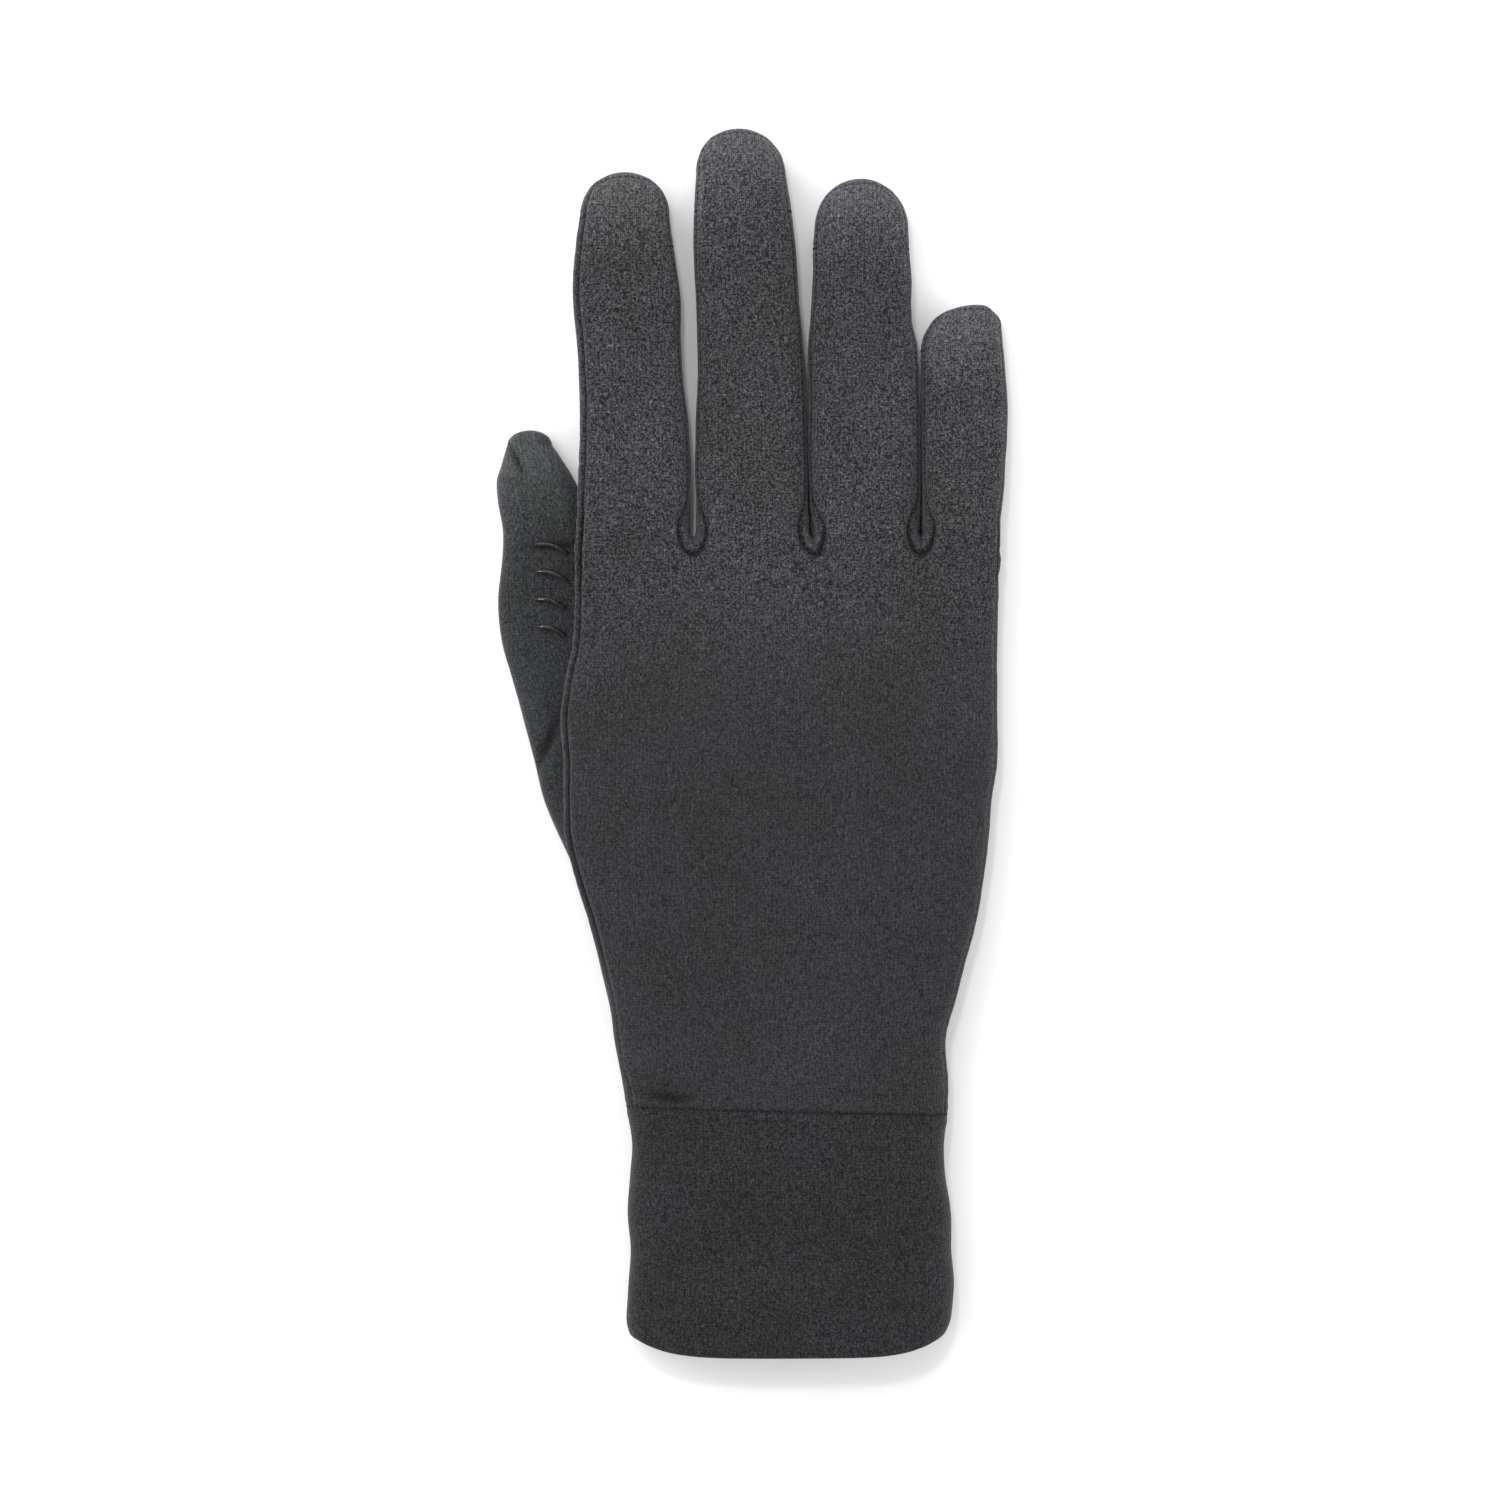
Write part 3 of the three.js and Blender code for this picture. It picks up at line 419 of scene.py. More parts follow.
class Skin:
    """A skin of quads with shared corners, each quad labelled with its panel."""

    weld = 2000.0

    def __init__(self) -> None:
        """Start with no points."""
        self.points: list[Array] = []
        self.known: dict[tuple[int, int, int], int] = {}
        self.quads: list[tuple[int, int, int, int]] = []
        self.cloth: list[Array] = []
        self.panels: list[Panel] = []

    def corner(self, point: Array) -> int:
        """Index of the welded corner at a point."""
        key = tuple(int(round(value * self.weld)) for value in point)
        found = self.known.get(key)
        if found is None:
            found = len(self.points)
            self.known[key] = found
            self.points.append(point)
        return found

    def band(self, lower: Row, upper: Row, panels: list[Panel | None]) -> None:
        """Lay quads between two rows.

        Args:
            lower: the first row.
            upper: the next row.
            panels: the panel of each column, or None where the skin is left open.
        """
        low = [self.corner(p) for p in lower.points]
        high = [self.corner(p) for p in upper.points]
        for i, panel in enumerate(panels):
            corners = (low[i], low[i + 1], high[i + 1], high[i])
            if panel is not None and len(set(corners)) > 2:
                self.quads.append(corners)
                self.cloth.append(np.array([lower.cloth[i], lower.cloth[i + 1],
                                            upper.cloth[i + 1], upper.cloth[i]]))
                self.panels.append(panel)

    def close(self) -> None:
        """Turn the lists into arrays once every quad is laid."""
        self.at = np.array(self.points)
        self.faces = np.array(self.quads)
        self.uv = np.array(self.cloth)
        self.normals = self.find_normals(self.at)

    def find_normals(self, at: Array) -> Array:
        """Outward normals shared by all the panels."""
        a, b, c, d = (at[self.faces[:, i]] for i in range(4))
        cross = np.cross(c - a, d - b)
        sums = np.zeros_like(at)
        for i in range(4):
            np.add.at(sums, self.faces[:, i], cross)
        return sums / np.maximum(np.linalg.norm(sums, axis=1, keepdims=True), 1e-12)

    def edges(self, panel: Panel) -> dict[tuple[int, int], Panel]:
        """Directed edges of a panel's quads."""
        found = {}
        for corners, own in zip(self.quads, self.panels):
            if own is panel:
                for a, b in zip(corners, corners[1:] + corners[:1]):
                    if a != b:
                        found[(a, b)] = own
        return found


@dataclass
class HandSkin:
    """Lays the fine skin of the hand, in rows from the hem to the fingertips."""

    form: HandForm
    strip_columns: int = 28
    band_columns: int = 10
    cuff_rows: int = 64
    palm_rows: int = 120
    web_rows: int = 8
    finger_row_length: float = 1.05
    cap_rows: int = 14
    hem_bow: float = 3.9
    hem_power: float = 4.4
    seam_slope: float = 0.8
    slope_reach: float = 12.0
    edge_seam_inset: float = 1.1
    little_seam_inset: float = 0.45
    fourchette_inset: float = 2.3
    fourchette_rise: float = 7.0
    hem_corner: float = 1.3
    hem_corner_reach: float = 5.0
    palm_edge_turn: float = 2.6
    fourchette_end: float = 0.8
    fourchette_taper: float = 0.24
    slim_from: float = 0.8
    end_ease: float = 0.07

    def __post_init__(self) -> None:
        """Place the columns of a strip."""
        self.shares = clustered(self.strip_columns, self.end_ease)

    def strip(self, side: Side, k: int, y: float, start: float, stop: float,
              end: float = 1.0) -> Array:
        """Points of one finger's strip of the back or palm."""
        x = start + (stop - start) * self.shares
        z = self.form.height(side, k, x, y, end)
        return np.column_stack([x, np.full_like(x, y), z])

    def side_band(self, k: int, y: float, side_x: float, back_inset: float, palm_inset: float,
                  towards: int, end: float = 1.0) -> Array:
        """Points round one side of a section, between the back's border and the palm's."""
        half = self.band_columns / 2
        points = []
        for column in range(1, self.band_columns):
            over = column < half
            turn = 1 - math.cos(abs(column - half) / half * math.pi / 2)
            x = side_x + towards * (back_inset if over else palm_inset) * turn
            z = self.form.height(Side.BACK if over else Side.PALM, k, np.array([x]), y, end)[0]
            points.append((x, y, z))
        return np.array(points)

    def seam_inset(self, k: int, outer: bool, y: float) -> float:
        """Depth of a seam from the side of a finger: deepest round the crotches."""
        if outer:
            return self.edge_seam_inset if k == 0 else self.little_seam_inset
        gone = float(smooth((y - self.form.finger_y) / self.fourchette_rise))
        return self.fourchette_inset * lerp(1.0, self.fourchette_taper, gone)

    def palm_row(self, y: float) -> dict[str, list[Array] | Array]:
        """One section of the cuff or palm, in strips for the fingers above it."""
        form = self.form
        left, right = form.palm_sides(y)
        inner = [form.division(k, y) for k in range(form.last)]
        stops = [left, *inner, right]
        row: dict[str, list[Array] | Array] = {"over": [], "under": []}
        for k in range(form.last + 1):
            for key, side, first, final in (
                    ("over", Side.BACK, self.edge_seam_inset, self.little_seam_inset),
                    ("under", Side.PALM, self.palm_edge_turn, self.palm_edge_turn)):
                start = stops[k] + (first if k == 0 else 0)
                stop = stops[k + 1] - (final if k == form.last else 0)
                row[key].append(self.strip(side, k, y, start, stop))
        row["right"] = self.side_band(form.last, y, right, self.little_seam_inset,
                                      self.palm_edge_turn, -1)
        row["left"] = self.side_band(0, y, left, self.edge_seam_inset, self.palm_edge_turn, 1)
        return row

    def bow(self, row: dict[str, list[Array] | Array], y: float) -> None:
        """Bend a row down towards the middle of the hem, and slope it near the cuff seam."""
        left, right = self.form.palm_sides(y)
        share = max(1 - y / self.form.seam_y, 0.0)
        slope = self.seam_slope * bell(y - self.form.seam_y, self.slope_reach)
        tuck = self.hem_corner * max(1 - y / self.hem_corner_reach, 0.0) ** 2
        half, middle = (right - left) / 2, (right + left) / 2
        for points in [*row["over"], *row["under"], row["left"], row["right"]]:
            across = (points[:, 0] - middle) / half
            points[:, 1] += share * self.hem_bow * np.abs(across) ** self.hem_power
            points[:, 1] -= slope * across
            points[:, 0] -= tuck * across ** 5

    def cloth_of(self, points: Array, centre: int, v: float) -> Array:
        """Cloth coordinates of a row: length across from its centre column, and length along."""
        steps = np.linalg.norm(np.diff(points, axis=0), axis=1)
        across = np.concatenate([[0.0], np.cumsum(steps)])
        return np.column_stack([across - across[centre], np.full(len(points), v)])

    def loop(self, row: dict[str, list[Array] | Array], v: float) -> Row:
        """A closed row: back from left to right, right side, palm back again, left side."""
        over = np.concatenate([p if k == 0 else p[1:] for k, p in enumerate(row["over"])])
        under = np.concatenate([p if k == 0 else p[1:] for k, p in enumerate(row["under"])])
        rest = np.concatenate([over[-1:], row["right"], under[::-1], row["left"][::-1], over[:1]])
        over_cloth = self.cloth_of(over, len(over) // 2, v)
        rest_cloth = self.cloth_of(rest, len(rest) // 2, v)
        return Row(np.concatenate([over, rest]), np.concatenate([over_cloth, rest_cloth]))

    def finger_row(self, k: int, y: float, rise: float) -> dict[str, list[Array] | Array]:
        """A finger's section at y, squeezed towards the tip by rise, from 0 to 1."""
        form, finger = self.form, self.form.fingers[k]
        left, right, _ = form.finger_sides(k, y)
        end = float(dome(rise, 2))
        slim = min(1.0, (right - left) / (finger.width * self.slim_from))
        back_left = self.seam_inset(k, k == 0, y) * slim
        back_right = self.seam_inset(k, k == form.last, y) * slim
        palm_left = lerp(self.palm_edge_turn * slim, back_left, rise)
        palm_right = lerp(self.palm_edge_turn * slim, back_right, rise)
        row: dict[str, list[Array] | Array] = {
            "over": [self.strip(Side.BACK, k, y, left + back_left, right - back_right, end)],
            "under": [self.strip(Side.PALM, k, y, left + palm_left, right - palm_right, end)],
            "right": self.side_band(k, y, right, back_right, palm_right, -1, end),
            "left": self.side_band(k, y, left, back_left, palm_left, 1, end),
        }
        if rise > 0:
            half, middle = (right - left) / 2, (right + left) / 2
            reach = finger.tip_y - y
            for points in (row["over"][0], row["under"][0], row["left"], row["right"]):
                across = (points[:, 0] - middle) / half
                climb = rise * np.sqrt(1 - across * across / 2)
                points[:, 0] = middle + half * across * math.sqrt(1 - rise * rise / 2)
                leaning = 1 - np.maximum(across, 0) ** 2 if finger.lean > 0 else 1.0
                points[:, 0] += finger.lean * finger.width * climb * leaning
                points[:, 1] = y + reach * climb
        return row

    def finger_rows(self, k: int) -> list[tuple[float, bool, dict]]:
        """All the sections of a finger as (y, seam, row)."""
        form, finger = self.form, self.form.fingers[k]
        cap_y = form.knuckle_y + finger.length * finger.rows.along[-1]
        steps = max(2, round((cap_y - form.finger_y) / self.finger_row_length))
        rows = []
        for i in range(steps + 1):
            y = lerp(form.finger_y, cap_y, i / steps)
            rows.append((y, False, self.finger_row(k, y, 0.0)))
        seam_rise = 1 - self.edge_seam_inset / (finger.tip_y - cap_y)
        rises = [seam_rise * math.sin(math.pi / 2 * (i + 1) / self.cap_rows)
                 for i in range(self.cap_rows)]
        tail = [seam_rise + (1 - seam_rise) * share for share in (0.35, 0.7, 1.0)]
        for rise in [*rises, *tail]:
            rows.append((cap_y, rise > seam_rise + 1e-9, self.finger_row(k, cap_y, rise)))
        return rows

    def lay_cuff_and_palm(self, skin: Skin) -> Row:
        """Lay the rows from the hem to the knuckle seam, and return the last."""
        form = self.form
        back = (form.last + 1) * self.strip_columns
        columns = 2 * (back + self.band_columns) + 1
        lower: Row | None = None
        for share in clustered(self.cuff_rows, 0.04):
            y = form.seam_y * share
            row = self.palm_row(y)
            self.bow(row, y)
            upper = self.loop(row, y)
            if lower is not None:
                skin.band(lower, upper, [Panel.CUFF] * columns)
            lower = upper
        for share in clustered(self.palm_rows, 0.07)[1:]:
            y = lerp(form.seam_y, form.knuckle_y, share)
            row = self.palm_row(y)
            if share < 0.6:
                self.bow(row, y)
            upper = self.loop(row, y)
            skin.band(lower, upper, [Panel.BACK] * back + [Panel.PALM] * (columns - back))
            lower = upper
        return lower

    def crotch_rows(self, k: int, left: dict, right: dict) -> list[Array]:
        """Rows round the crotch right of finger k, from its side to its neighbour's."""
        form, half = self.form, self.band_columns / 2
        middle = form.division(k, form.knuckle_y)
        rows = []
        for i in range(-self.web_rows, self.web_rows + 1):
            owner, side = (k, left) if i <= 0 else (k + 1, right)
            turn = abs(i) / self.web_rows * math.pi / 2
            out, up = math.sin(turn), 1 - math.cos(turn)
            back_x = lerp(middle, side["back_x"], out)
            palm_x = lerp(middle, side["palm_x"], out)
            seam_y = lerp(form.knuckle_y, form.finger_y, up)
            web_x = lerp((left["side_x"] + right["side_x"]) / 2, side["side_x"], out)
            web_y = lerp(form.web_y, form.finger_y, up)
            web_z = float(form.edge(np.array([web_x]), web_y, 1.0)[0])
            back_z = form.height(Side.BACK, owner, np.array([back_x]), seam_y)[0]
            palm_z = form.height(Side.PALM, owner, np.array([palm_x]), seam_y)[0]
            back = np.array([back_x, seam_y, back_z])
            palm = np.array([palm_x, seam_y, palm_z])
            points = [back]
            for column in range(1, self.band_columns):
                border = back if column < half else palm
                lean = abs(column - half) / half * math.pi / 2
                spread, climb = 1 - math.cos(lean), math.sin(lean)
                points.append(np.array([lerp(web_x, border[0], spread),
                                        lerp(web_y, border[1], spread),
                                        lerp(web_z, border[2], climb)]))
            rows.append(np.array([*points, palm]))
        rows[0], rows[-1] = left["points"], right["points"]
        return rows

    def side_of(self, row: dict, on_right: bool) -> dict:
        """The column of points down one side of a finger's first free row."""
        over, under = row["over"][0], row["under"][0]
        end = -1 if on_right else 0
        band = row["right"] if on_right else row["left"]
        return {"points": np.concatenate([over[end][None], band, under[end][None]]),
                "side_x": band[self.band_columns // 2 - 1][0],
                "back_x": over[end][0], "palm_x": under[end][0]}

    def knuckle_strips(self, k: int, y: float, i: int, crotches: list[list[Array]]) -> dict:
        """Back and palm strips of finger k between the knuckle seam and its first free row."""
        form = self.form
        left, right, _ = form.finger_sides(k, y)
        start = None if k == 0 else crotches[k - 1][self.web_rows + i]
        stop = None if k == form.last else crotches[k][self.web_rows - i]
        row: dict[str, Array] = {}
        for key, side, from_left, from_right, column in (
                ("over", Side.BACK, self.edge_seam_inset, self.little_seam_inset, 0),
                ("under", Side.PALM, self.palm_edge_turn, self.palm_edge_turn,
                 self.band_columns)):
            first = left + from_left if start is None else start[column][0]
            final = right - from_right if stop is None else stop[column][0]
            points = self.strip(side, k, y, first, final)
            if start is not None:
                points[0] = start[column]
            if stop is not None:
                points[-1] = stop[column]
            row[key] = points
        row["left"] = self.side_band(k, y, left, self.edge_seam_inset, self.palm_edge_turn, 1)
        row["right"] = self.side_band(k, y, right, self.little_seam_inset, self.palm_edge_turn, -1)
        return row

    def lay_knuckles(self, skin: Skin, palm: dict, firsts: list[dict]) -> None:
        """Lay the crotches, and the rows between the knuckle seam and the free fingers."""
        form = self.form
        crotches = []
        for k in range(form.last):
            rows = self.crotch_rows(k, self.side_of(firsts[k], True),
                                    self.side_of(firsts[k + 1], False))
            crotches.append(rows)
            path = form.finger_y
            lower = Row(rows[0], self.cloth_of(rows[0], self.band_columns // 2, path))
            for points in rows[1:]:
                path += float(np.linalg.norm(points - lower.points, axis=1).mean())
                upper = Row(points, self.cloth_of(points, self.band_columns // 2, path))
                skin.band(upper, lower, [FOURCHETTES[k]] * self.band_columns)
                lower = upper
        bands = self.band_columns
        for k in range(form.last + 1):
            lower = {"over": palm["over"][k], "under": palm["under"][k],
                     "left": palm["left"], "right": palm["right"]}
            low_y = form.knuckle_y
            for i in range(1, self.web_rows + 1):
                turn = i / self.web_rows * math.pi / 2
                y = lerp(form.knuckle_y, form.finger_y, 1 - math.cos(turn))
                if i == self.web_rows:
                    first = firsts[k]
                    upper = {"over": first["over"][0], "under": first["under"][0],
                             "left": first["left"], "right": first["right"]}
                else:
                    upper = self.knuckle_strips(k, y, i, crotches)
                centre = self.strip_columns // 2
                self.lay_pair(skin, lower["over"], upper["over"], centre, low_y, y, Panel.BACK)
                self.lay_pair(skin, upper["under"], lower["under"], centre, y, low_y, Panel.PALM)
                if k == 0:
                    high, low = (np.concatenate([r["over"][:1], r["left"], r["under"][:1]])
                                 for r in (upper, lower))
                    self.lay_pair(skin, high, low, bands, y, low_y, Panel.PALM)
                if k == form.last:
                    low, high = (np.concatenate([r["over"][-1:], r["right"], r["under"][-1:]])
                                 for r in (lower, upper))
                    self.lay_pair(skin, low, high, bands, low_y, y, Panel.PALM)
                lower, low_y = upper, y

    def lay_pair(self, skin: Skin, lower: Array, upper: Array, centre: int, low_v: float,
                 high_v: float, panel: Panel) -> None:
        """Lay one band of quads between two rows of points."""
        skin.band(Row(lower, self.cloth_of(lower, centre, low_v)),
                  Row(upper, self.cloth_of(upper, centre, high_v)), [panel] * (len(lower) - 1))

    def lay_finger(self, skin: Skin, k: int, rows: list[tuple[float, bool, dict]]) -> None:
        """Lay one free finger up to the seam round its tip."""
        form, finger = self.form, self.form.fingers[k]
        top = lerp(form.finger_y, finger.tip_y, self.fourchette_end)
        strips, bands = self.strip_columns, self.band_columns
        left_of = FOURCHETTES[k - 1] if k > 0 else None
        right_of = FOURCHETTES[k] if k < form.last else None
        lower = self.loop(rows[0][2], rows[0][0])
        flat = lower
        for (y, seam, row), (before, _, _) in zip(rows[1:], rows):
            upper = self.loop(row, y)
            if y == before:
                self.climb(flat, lower, upper)
            else:
                flat = upper
            walls = y <= top and y > before
            labels = ([Panel.PALM if seam else Panel.BACK] * strips + [None]
                      + [right_of if walls and right_of else Panel.PALM] * bands
                      + [Panel.PALM] * strips
                      + [left_of if walls and left_of else Panel.PALM] * bands)
            skin.band(lower, upper, labels)
            lower = upper

    def climb(self, flat: Row, lower: Row, upper: Row) -> None:
        """Run the cloth on over a fingertip.

        Args:
            flat: the last row before the tip.
            lower: the row below.
            upper: the row whose cloth coordinates are set.
        """
        step = upper.points - lower.points
        width = np.ptp(upper.points[:, 0]) / max(np.ptp(flat.points[:, 0]), 1e-6)
        upper.cloth[:, 0] = flat.cloth[:, 0] * width
        upper.cloth[:, 1] = lower.cloth[:, 1] + np.hypot(step[:, 1], step[:, 2])

    def lay(self) -> Skin:
        """Lay the whole hand and return its skin."""
        skin = Skin()
        fingers = [self.finger_rows(k) for k in range(self.form.last + 1)]
        self.lay_cuff_and_palm(skin)
        self.lay_knuckles(skin, self.palm_row(self.form.knuckle_y), [rows[0][2] for rows in fingers])
        for k, rows in enumerate(fingers):
            self.lay_finger(skin, k, rows)
        skin.close()
        return skin


@dataclass
class Mouth:
    """The oval opening through which the thumb leaves the palm, in mm."""

    form: HandForm
    length: float = 23.6
    width: float = 13.8
    shift: float = 2.6
    along: float = 0.246

    def centre(self) -> tuple[float, float]:
        """Middle of the opening in plan."""
        left, right, _ = self.form.thumb_sides(self.along)
        return (left + right) / 2 + self.shift, self.form.thumb_y(self.along)

    def cut(self, skin: Skin, low: float, high: float) -> None:
        """Open the skin inside the oval, between two heights, and draw its rim to the oval."""
        centre = np.array(self.centre())
        radii = np.array([self.width / 2, self.length / 2])
        points = np.array(skin.points)
        away = (points[:, :2] - centre) / radii
        reach = np.linalg.norm(away, axis=1)
        inside = (reach < 1) & (points[:, 2] > low) & (points[:, 2] < high)
        keep, rim = [], set()
        for i, corners in enumerate(skin.quads):
            if sum(inside[c] for c in corners) >= 2:
                rim.update(corners)
            else:
                keep.append(i)
        used = {c for i in keep for c in skin.quads[i]}
        for c in rim & used:
            plan = centre + (points[c, :2] - centre) / max(reach[c], 1e-6)
            skin.points[c] = np.array([plan[0], plan[1], points[c, 2]])
        skin.quads = [skin.quads[i] for i in keep]
        skin.cloth = [skin.cloth[i] for i in keep]
        skin.panels = [skin.panels[i] for i in keep]


@dataclass
class ThumbSkin:
    """Lays the skin of the thumb, a closed tube tucked under the index side."""

    form: HandForm
    columns: int = 120
    rows: int = 150
    cap_rows: int = 9

    def loop(self, along: float, rise: float, cap_end: float) -> Row:
        """A closed row round the thumb.

        Args:
            along: place along the thumb.
            rise: how far the row has run into an end cap, from 0 to 1.
            cap_end: where that cap ends.

        Returns:
            The row, with its cloth coordinates.
        """
        left, right, full = self.form.thumb_sides(along)
        half, middle = (right - left) / 2, (right + left) / 2
        turn = math.pi - 2 * math.pi * np.arange(self.columns) / self.columns
        across = np.cos(turn)
        over = np.arange(self.columns) <= self.columns // 2
        end = float(dome(rise, 2))
        top = self.form.thumb_height(Side.BACK, across, full, end)
        sole = self.form.thumb_height(Side.PALM, across, full, end)
        climb = rise * np.sqrt(1 - across * across / 2)
        y = self.form.thumb_y(along)
        points = np.column_stack([middle + half * across * math.sqrt(1 - rise * rise / 2),
                                  y + (cap_end - y) * climb, np.where(over, top, sole)])
        points = np.concatenate([points, points[:1]])
        steps = np.linalg.norm(np.diff(points, axis=0), axis=1)
        length = np.concatenate([[0.0], np.cumsum(steps)])
        return Row(points, np.column_stack([length - length[self.columns // 4],
                                            points[:, 1] - self.form.thumb_base_y]))

    def lay(self, mouth: Mouth) -> Skin:
        """Lay the thumb and open its mouth."""
        skin = Skin()
        first, last = THUMB_SECTIONS.along[0], THUMB_SECTIONS.along[-1]
        rises = [math.sin(math.pi / 2 * (i + 1) / self.cap_rows) for i in range(self.cap_rows)]
        loops = [self.loop(first, rise, self.form.thumb_base_y) for rise in reversed(rises)]
        loops += [self.loop(lerp(first, last, i / self.rows), 0.0, 0.0)
                  for i in range(self.rows + 1)]
        loops += [self.loop(last, rise, self.form.thumb_tip_y) for rise in rises]
        for lower, upper in zip(loops, loops[1:]):
            skin.band(lower, upper, [Panel.THUMB] * self.columns)
        mouth.cut(skin, self.form.thumb_thick * 0.6, self.form.thumb_thick * 1.5)
        skin.close()
        return skin


@dataclass(frozen=True)
class Dent:
    """A soft fold or hollow in the cloth, placed in millimetres of the finished glove."""

    x: float
    y: float
    length: float
    width: float
    turn: float
    depth: float


FOLD_COLUMNS = ("x", "y", "length", "width", "turn", "depth")
BACK_FOLDS = [Dent(*row) for row in (
    (-17.0, -72.3, 5.4, 1.3, -4.0, 1.2),
    (-19.5, -71.0, 9.0, 2.6, -6.0, 0.8),
    (-18.0, -66.4, 10.0, 2.6, -5.0, -0.5),
    (24.0, -73.0, 16.0, 2.2, -2.0, 0.35),
    (33.0, -62.0, 13.0, 3.0, 66.0, 0.55),
    (-22.0, 6.0, 20.0, 5.0, 80.0, 0.35),
    (4.0, 26.0, 22.0, 6.5, 10.0, 0.3),
    (30.0, 24.0, 18.0, 6.0, -14.0, 0.4),
    (-27.0, 70.0, 9.0, 4.0, 12.0, 0.22),
    (0.0, 76.0, 9.0, 4.0, -10.0, 0.22),
    (22.0, 68.0, 8.5, 4.0, 8.0, 0.22),
    (10.0, -104.0, 24.0, 3.4, 3.0, 0.3),
    (32.0, -92.0, 12.0, 3.0, 32.0, 0.35),
)]
THUMB_FOLDS = [Dent(*row) for row in (
    (-41.6, -0.6, 6.5, 1.25, 64.0, 0.9),
    (-40.6, 39.8, 6.5, 0.9, 4.0, 0.5),
    (-47.9, 57.6, 3.4, 0.8, -62.0, 0.9),
    (-44.6, 57.8, 6.0, 2.2, -58.0, -0.35),
    (-46.0, 14.0, 8.0, 3.0, 70.0, 0.3),
)]


@dataclass
class Relief:
    """Presses seams, puckers, soft waves and folds into a skin. Sizes in mm."""

    groove: float = 0.42
    groove_width: float = 0.5
    ridge: float = 0.2
    ridge_at: float = 1.4
    ridge_width: float = 0.85
    pucker: float = 0.14
    pucker_reach: float = 2.4
    wave: float = 0.42
    wave_length: float = 19.0
    ripple: float = 0.12
    ripple_length: float = 6.5
    seam_step: float = 0.15
    weak: float = 0.3
    crotch_y: float = 39.5
    crotch_reach: float = 6.0
    index_side_x: float = -28.0
    cuff_y: float = -75.0
    crease_width: float = 1.3

    def seam_edges(self, skin: Skin) -> list[tuple[int, int]]:
        """Edges where two panels meet, each once, running the same way along a seam."""
        owner: dict[tuple[int, int], int] = {}
        order = list(Panel)
        for corners, panel in zip(skin.quads, skin.panels):
            for a, b in zip(corners, corners[1:] + corners[:1]):
                if a != b:
                    owner[(a, b)] = order.index(panel)
        return [(a, b) for (a, b), panel in owner.items() if owner.get((b, a), panel) > panel]

    def distances(self, skin: Skin, edges: list[tuple[int, int]]) -> tuple[Array, Array]:
        """Distance of each point to the nearest seam, and the place on that seam."""
        samples = []
        for a, b in edges:
            start, stop = skin.at[a], skin.at[b]
            count = max(1, int(np.linalg.norm(stop - start) / self.seam_step))
            samples.append(start + (stop - start) * (np.arange(count) / count)[:, None])
        line = np.concatenate(samples)
        tree = KDTree(len(line))
        for i, point in enumerate(line):
            tree.insert(point, i)
        tree.balance()
        found = [tree.find(point) for point in skin.at]
        return np.array([f[2] for f in found]), line[[f[1] for f in found]]

    def weight(self, near: Array) -> Array:
        """How strongly each seam point pulls: most at the crotches and the index side."""
        x, y = near[:, 0], near[:, 1]
        crotch = bell(y - self.crotch_y, self.crotch_reach)
        index_side = smooth((self.index_side_x - x) / 3.0)
        cuff = bell(y - self.cuff_y, 1.5)
        return np.clip(self.weak + crotch * 1.4 + index_side * 0.6 + cuff * 0.1, 0.0, 1.5)

    def press(self, skin: Skin, folds: list[Dent]) -> None:
        """Move the skin's points along its normals.

        Args:
            skin: the skin, which also gets its seam distances and the painted shade of its narrow
                folds.
            folds: the soft folds on its upper side.
        """
        normals = skin.normals
        skin.edges_of_seams = self.seam_edges(skin)
        if skin.edges_of_seams:
            distance, near = self.distances(skin, skin.edges_of_seams)
        else:
            distance, near = np.full(len(skin.at), 99.0), skin.at
        skin.seam_distance = distance
        pull = self.weight(near)
        skin.seam_pull = pull
        gather = np.array([noise.noise(Vector(p) * 0.55) for p in near])
        waves = np.array([noise.noise(Vector(p) / self.wave_length) for p in skin.at])
        ripples = np.array([noise.noise(Vector(p) / self.ripple_length) for p in skin.at])
        rise = -self.groove * pull * bell(distance, self.groove_width)
        rise += self.ridge * pull * (1 + gather) * bell(distance - self.ridge_at,
                                                        self.ridge_width)
        rise += self.pucker * pull * gather * bell(distance, self.pucker_reach)
        rise += self.wave * waves + self.ripple * ripples
        upper = smooth(normals[:, 2] * 1.6)
        # Painted shade: share of darkening along each narrow fold, for the cloth's colour.
        skin.crease = np.zeros(len(skin.at))
        for fold in folds:
            turn = math.radians(fold.turn)
            plan = skin.at[:, :2] - np.array([fold.x, fold.y])
            along = plan @ np.array([math.cos(turn), math.sin(turn)])
            across = plan @ np.array([-math.sin(turn), math.cos(turn)])
            rise -= fold.depth * upper * bell(along, fold.length) * bell(across, fold.width)
            if fold.width <= self.crease_width:
                line = upper * bell(along, fold.length) * bell(across, fold.width * 0.8)
                skin.crease = np.maximum(skin.crease, line)
        low = smooth(skin.at[:, 2] / 1.2) + upper
        skin.at = skin.at + normals * (rise * np.minimum(low, 1.0))[:, None]
        skin.at[:, 2] = np.maximum(skin.at[:, 2], 0.02)
        skin.normals = skin.find_normals(skin.at)


